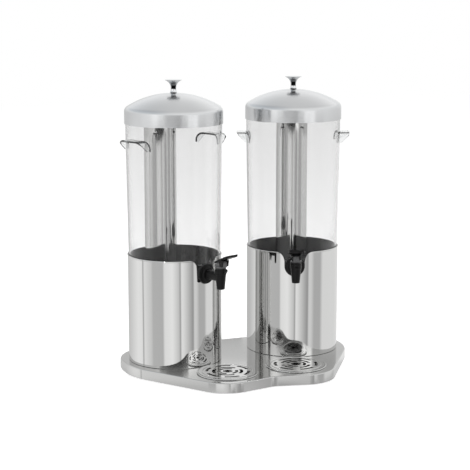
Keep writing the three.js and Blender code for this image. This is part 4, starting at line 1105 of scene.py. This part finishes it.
# %% The ceiling
WHITE = (1, 1, 1, 1)
DAYLIGHT, CEILING, OVERHEAD, EVEN_GREY = "#BFC3C7", "#E2E2E2", "#DCDCDC", "#BFBFBF"
world = bpy.data.worlds.new("studio_ceiling")
bpy.context.scene.world = world
tree = bare_tree(world)
way = add_node(tree, "ShaderNodeTexCoord")
turned_way = add_node(tree, "ShaderNodeVectorRotate", {"rotation_type": "Z_AXIS"},
                      links={"Vector": way.outputs["Generated"]}, Angle=camera_side)
parts = add_node(tree, "ShaderNodeSeparateXYZ", links={"Vector": turned_way.outputs["Vector"]})
room = mixed(tree, smooth_step(tree, parts.outputs["X"], -0.8, 0.1), linear(DAYLIGHT), linear(CEILING))
dimmed = mixed(tree, smooth_step(tree, parts.outputs["Z"], 0.35, 0.95), room, linear(OVERHEAD), "MULTIPLY")
seen = mixed(tree, seen_straight(tree), linear(EVEN_GREY), WHITE)
plain_sky = add_node(tree, "ShaderNodeBackground", links={"Color": seen}, Strength=1.0)
mirror_sky = add_node(tree, "ShaderNodeBackground", links={"Color": dimmed}, Strength=ONCE_MIRRORED)
sky = either(tree, mirrored(tree), plain_sky, mirror_sky)
add_node(tree, "ShaderNodeOutputWorld", links={"Surface": sky.outputs["Shader"]})
print("ceiling:", len(tree.nodes), "nodes")

# %% [markdown]
# The floor is pale paper. Seen by the camera it glows a little, so that it meets the white room without a line, and
# its plain part still darkens under the object. Mirror rays pass it and see the cards.

# %% Floor
FLOOR_HALF, FLOOR_GREY, FLOOR_GLOW = 6, "#E0E0E0", 0.6
floor_bm = bmesh.new()
bmesh.ops.create_grid(floor_bm, x_segments=1, y_segments=1, size=FLOOR_HALF)
floor = new_object("paper_floor", floor_bm)
paper = bpy.data.materials.new("white_paper")
tree = bare_tree(paper)
sheet = add_node(tree, "ShaderNodeBsdfDiffuse", Color=linear(FLOOR_GREY))
glow = add_node(tree, "ShaderNodeEmission", Color=WHITE, Strength=FLOOR_GLOW)
white = add_node(tree, "ShaderNodeAddShader", links={0: sheet.outputs["BSDF"], 1: glow.outputs["Emission"]})
paper_seen = either(tree, seen_straight(tree), sheet, white)
whole = either(tree, mirrored(tree), paper_seen, add_node(tree, "ShaderNodeBsdfTransparent"))
add_node(tree, "ShaderNodeOutputMaterial", links={"Surface": whole.outputs["Shader"]})
floor.data.materials.append(paper)
print("floor:", 2 * FLOOR_HALF, "m wide")

# %% [markdown]
# Three broad soft lamps light the floor and the matt pieces. Mirror rays pass them, so no round lamp shows in the
# lids. A narrow beam falls on each tap, from so high that the upright mirrors don't show it, and puts small grey
# lights on the black plastic.

# %% Lamps
LAMPS = (("soft_left", (-2.2, -2.2, 2.6), 1.6, 34), ("soft_right", (2.6, -1.6, 2.2), 1.4, 20),
         ("soft_top", (0.2, 0.6, 3.0), 1.6, 22))
LAMP_GOAL = Vector((0, 0, 0.3))
BEAM_GOALS = {"left": Vector((-0.082, -0.075, 0.225)), "right": Vector((0.082, -0.075, 0.225))}
BEAM_COMES_FROM = Vector((-0.9, -0.75, 1.15))
BEAM_WATTS, BEAM_DEGREES, BEAM_BLEND, BEAM_SIZE = 60, 5, 0.6, 0.12


def hang(name, kind, place, goal, watts):
    """Hangs a lamp at a place and turns it to its goal."""
    data = bpy.data.lights.new(name, kind)
    data.energy = watts
    lamp = bpy.data.objects.new(name, data)
    lamp.location = place
    lamp.rotation_euler = (goal - lamp.location).to_track_quat("-Z", "Y").to_euler()
    bpy.context.scene.collection.objects.link(lamp)
    return lamp


for name, place, size, watts in LAMPS:
    lamp = hang(name, "AREA", place, LAMP_GOAL, watts)
    lamp.data.shape = "DISK"
    lamp.data.size = size
    lamp.visible_glossy = False
for side, goal in BEAM_GOALS.items():
    beam = hang(f"{side}_beam", "SPOT", goal + BEAM_COMES_FROM, goal, BEAM_WATTS)
    beam.data.spot_size = math.radians(BEAM_DEGREES)
    beam.data.spot_blend = BEAM_BLEND
    beam.data.shadow_soft_size = BEAM_SIZE
print("lamps:", len(LAMPS), "soft,", len(BEAM_GOALS), "beams")
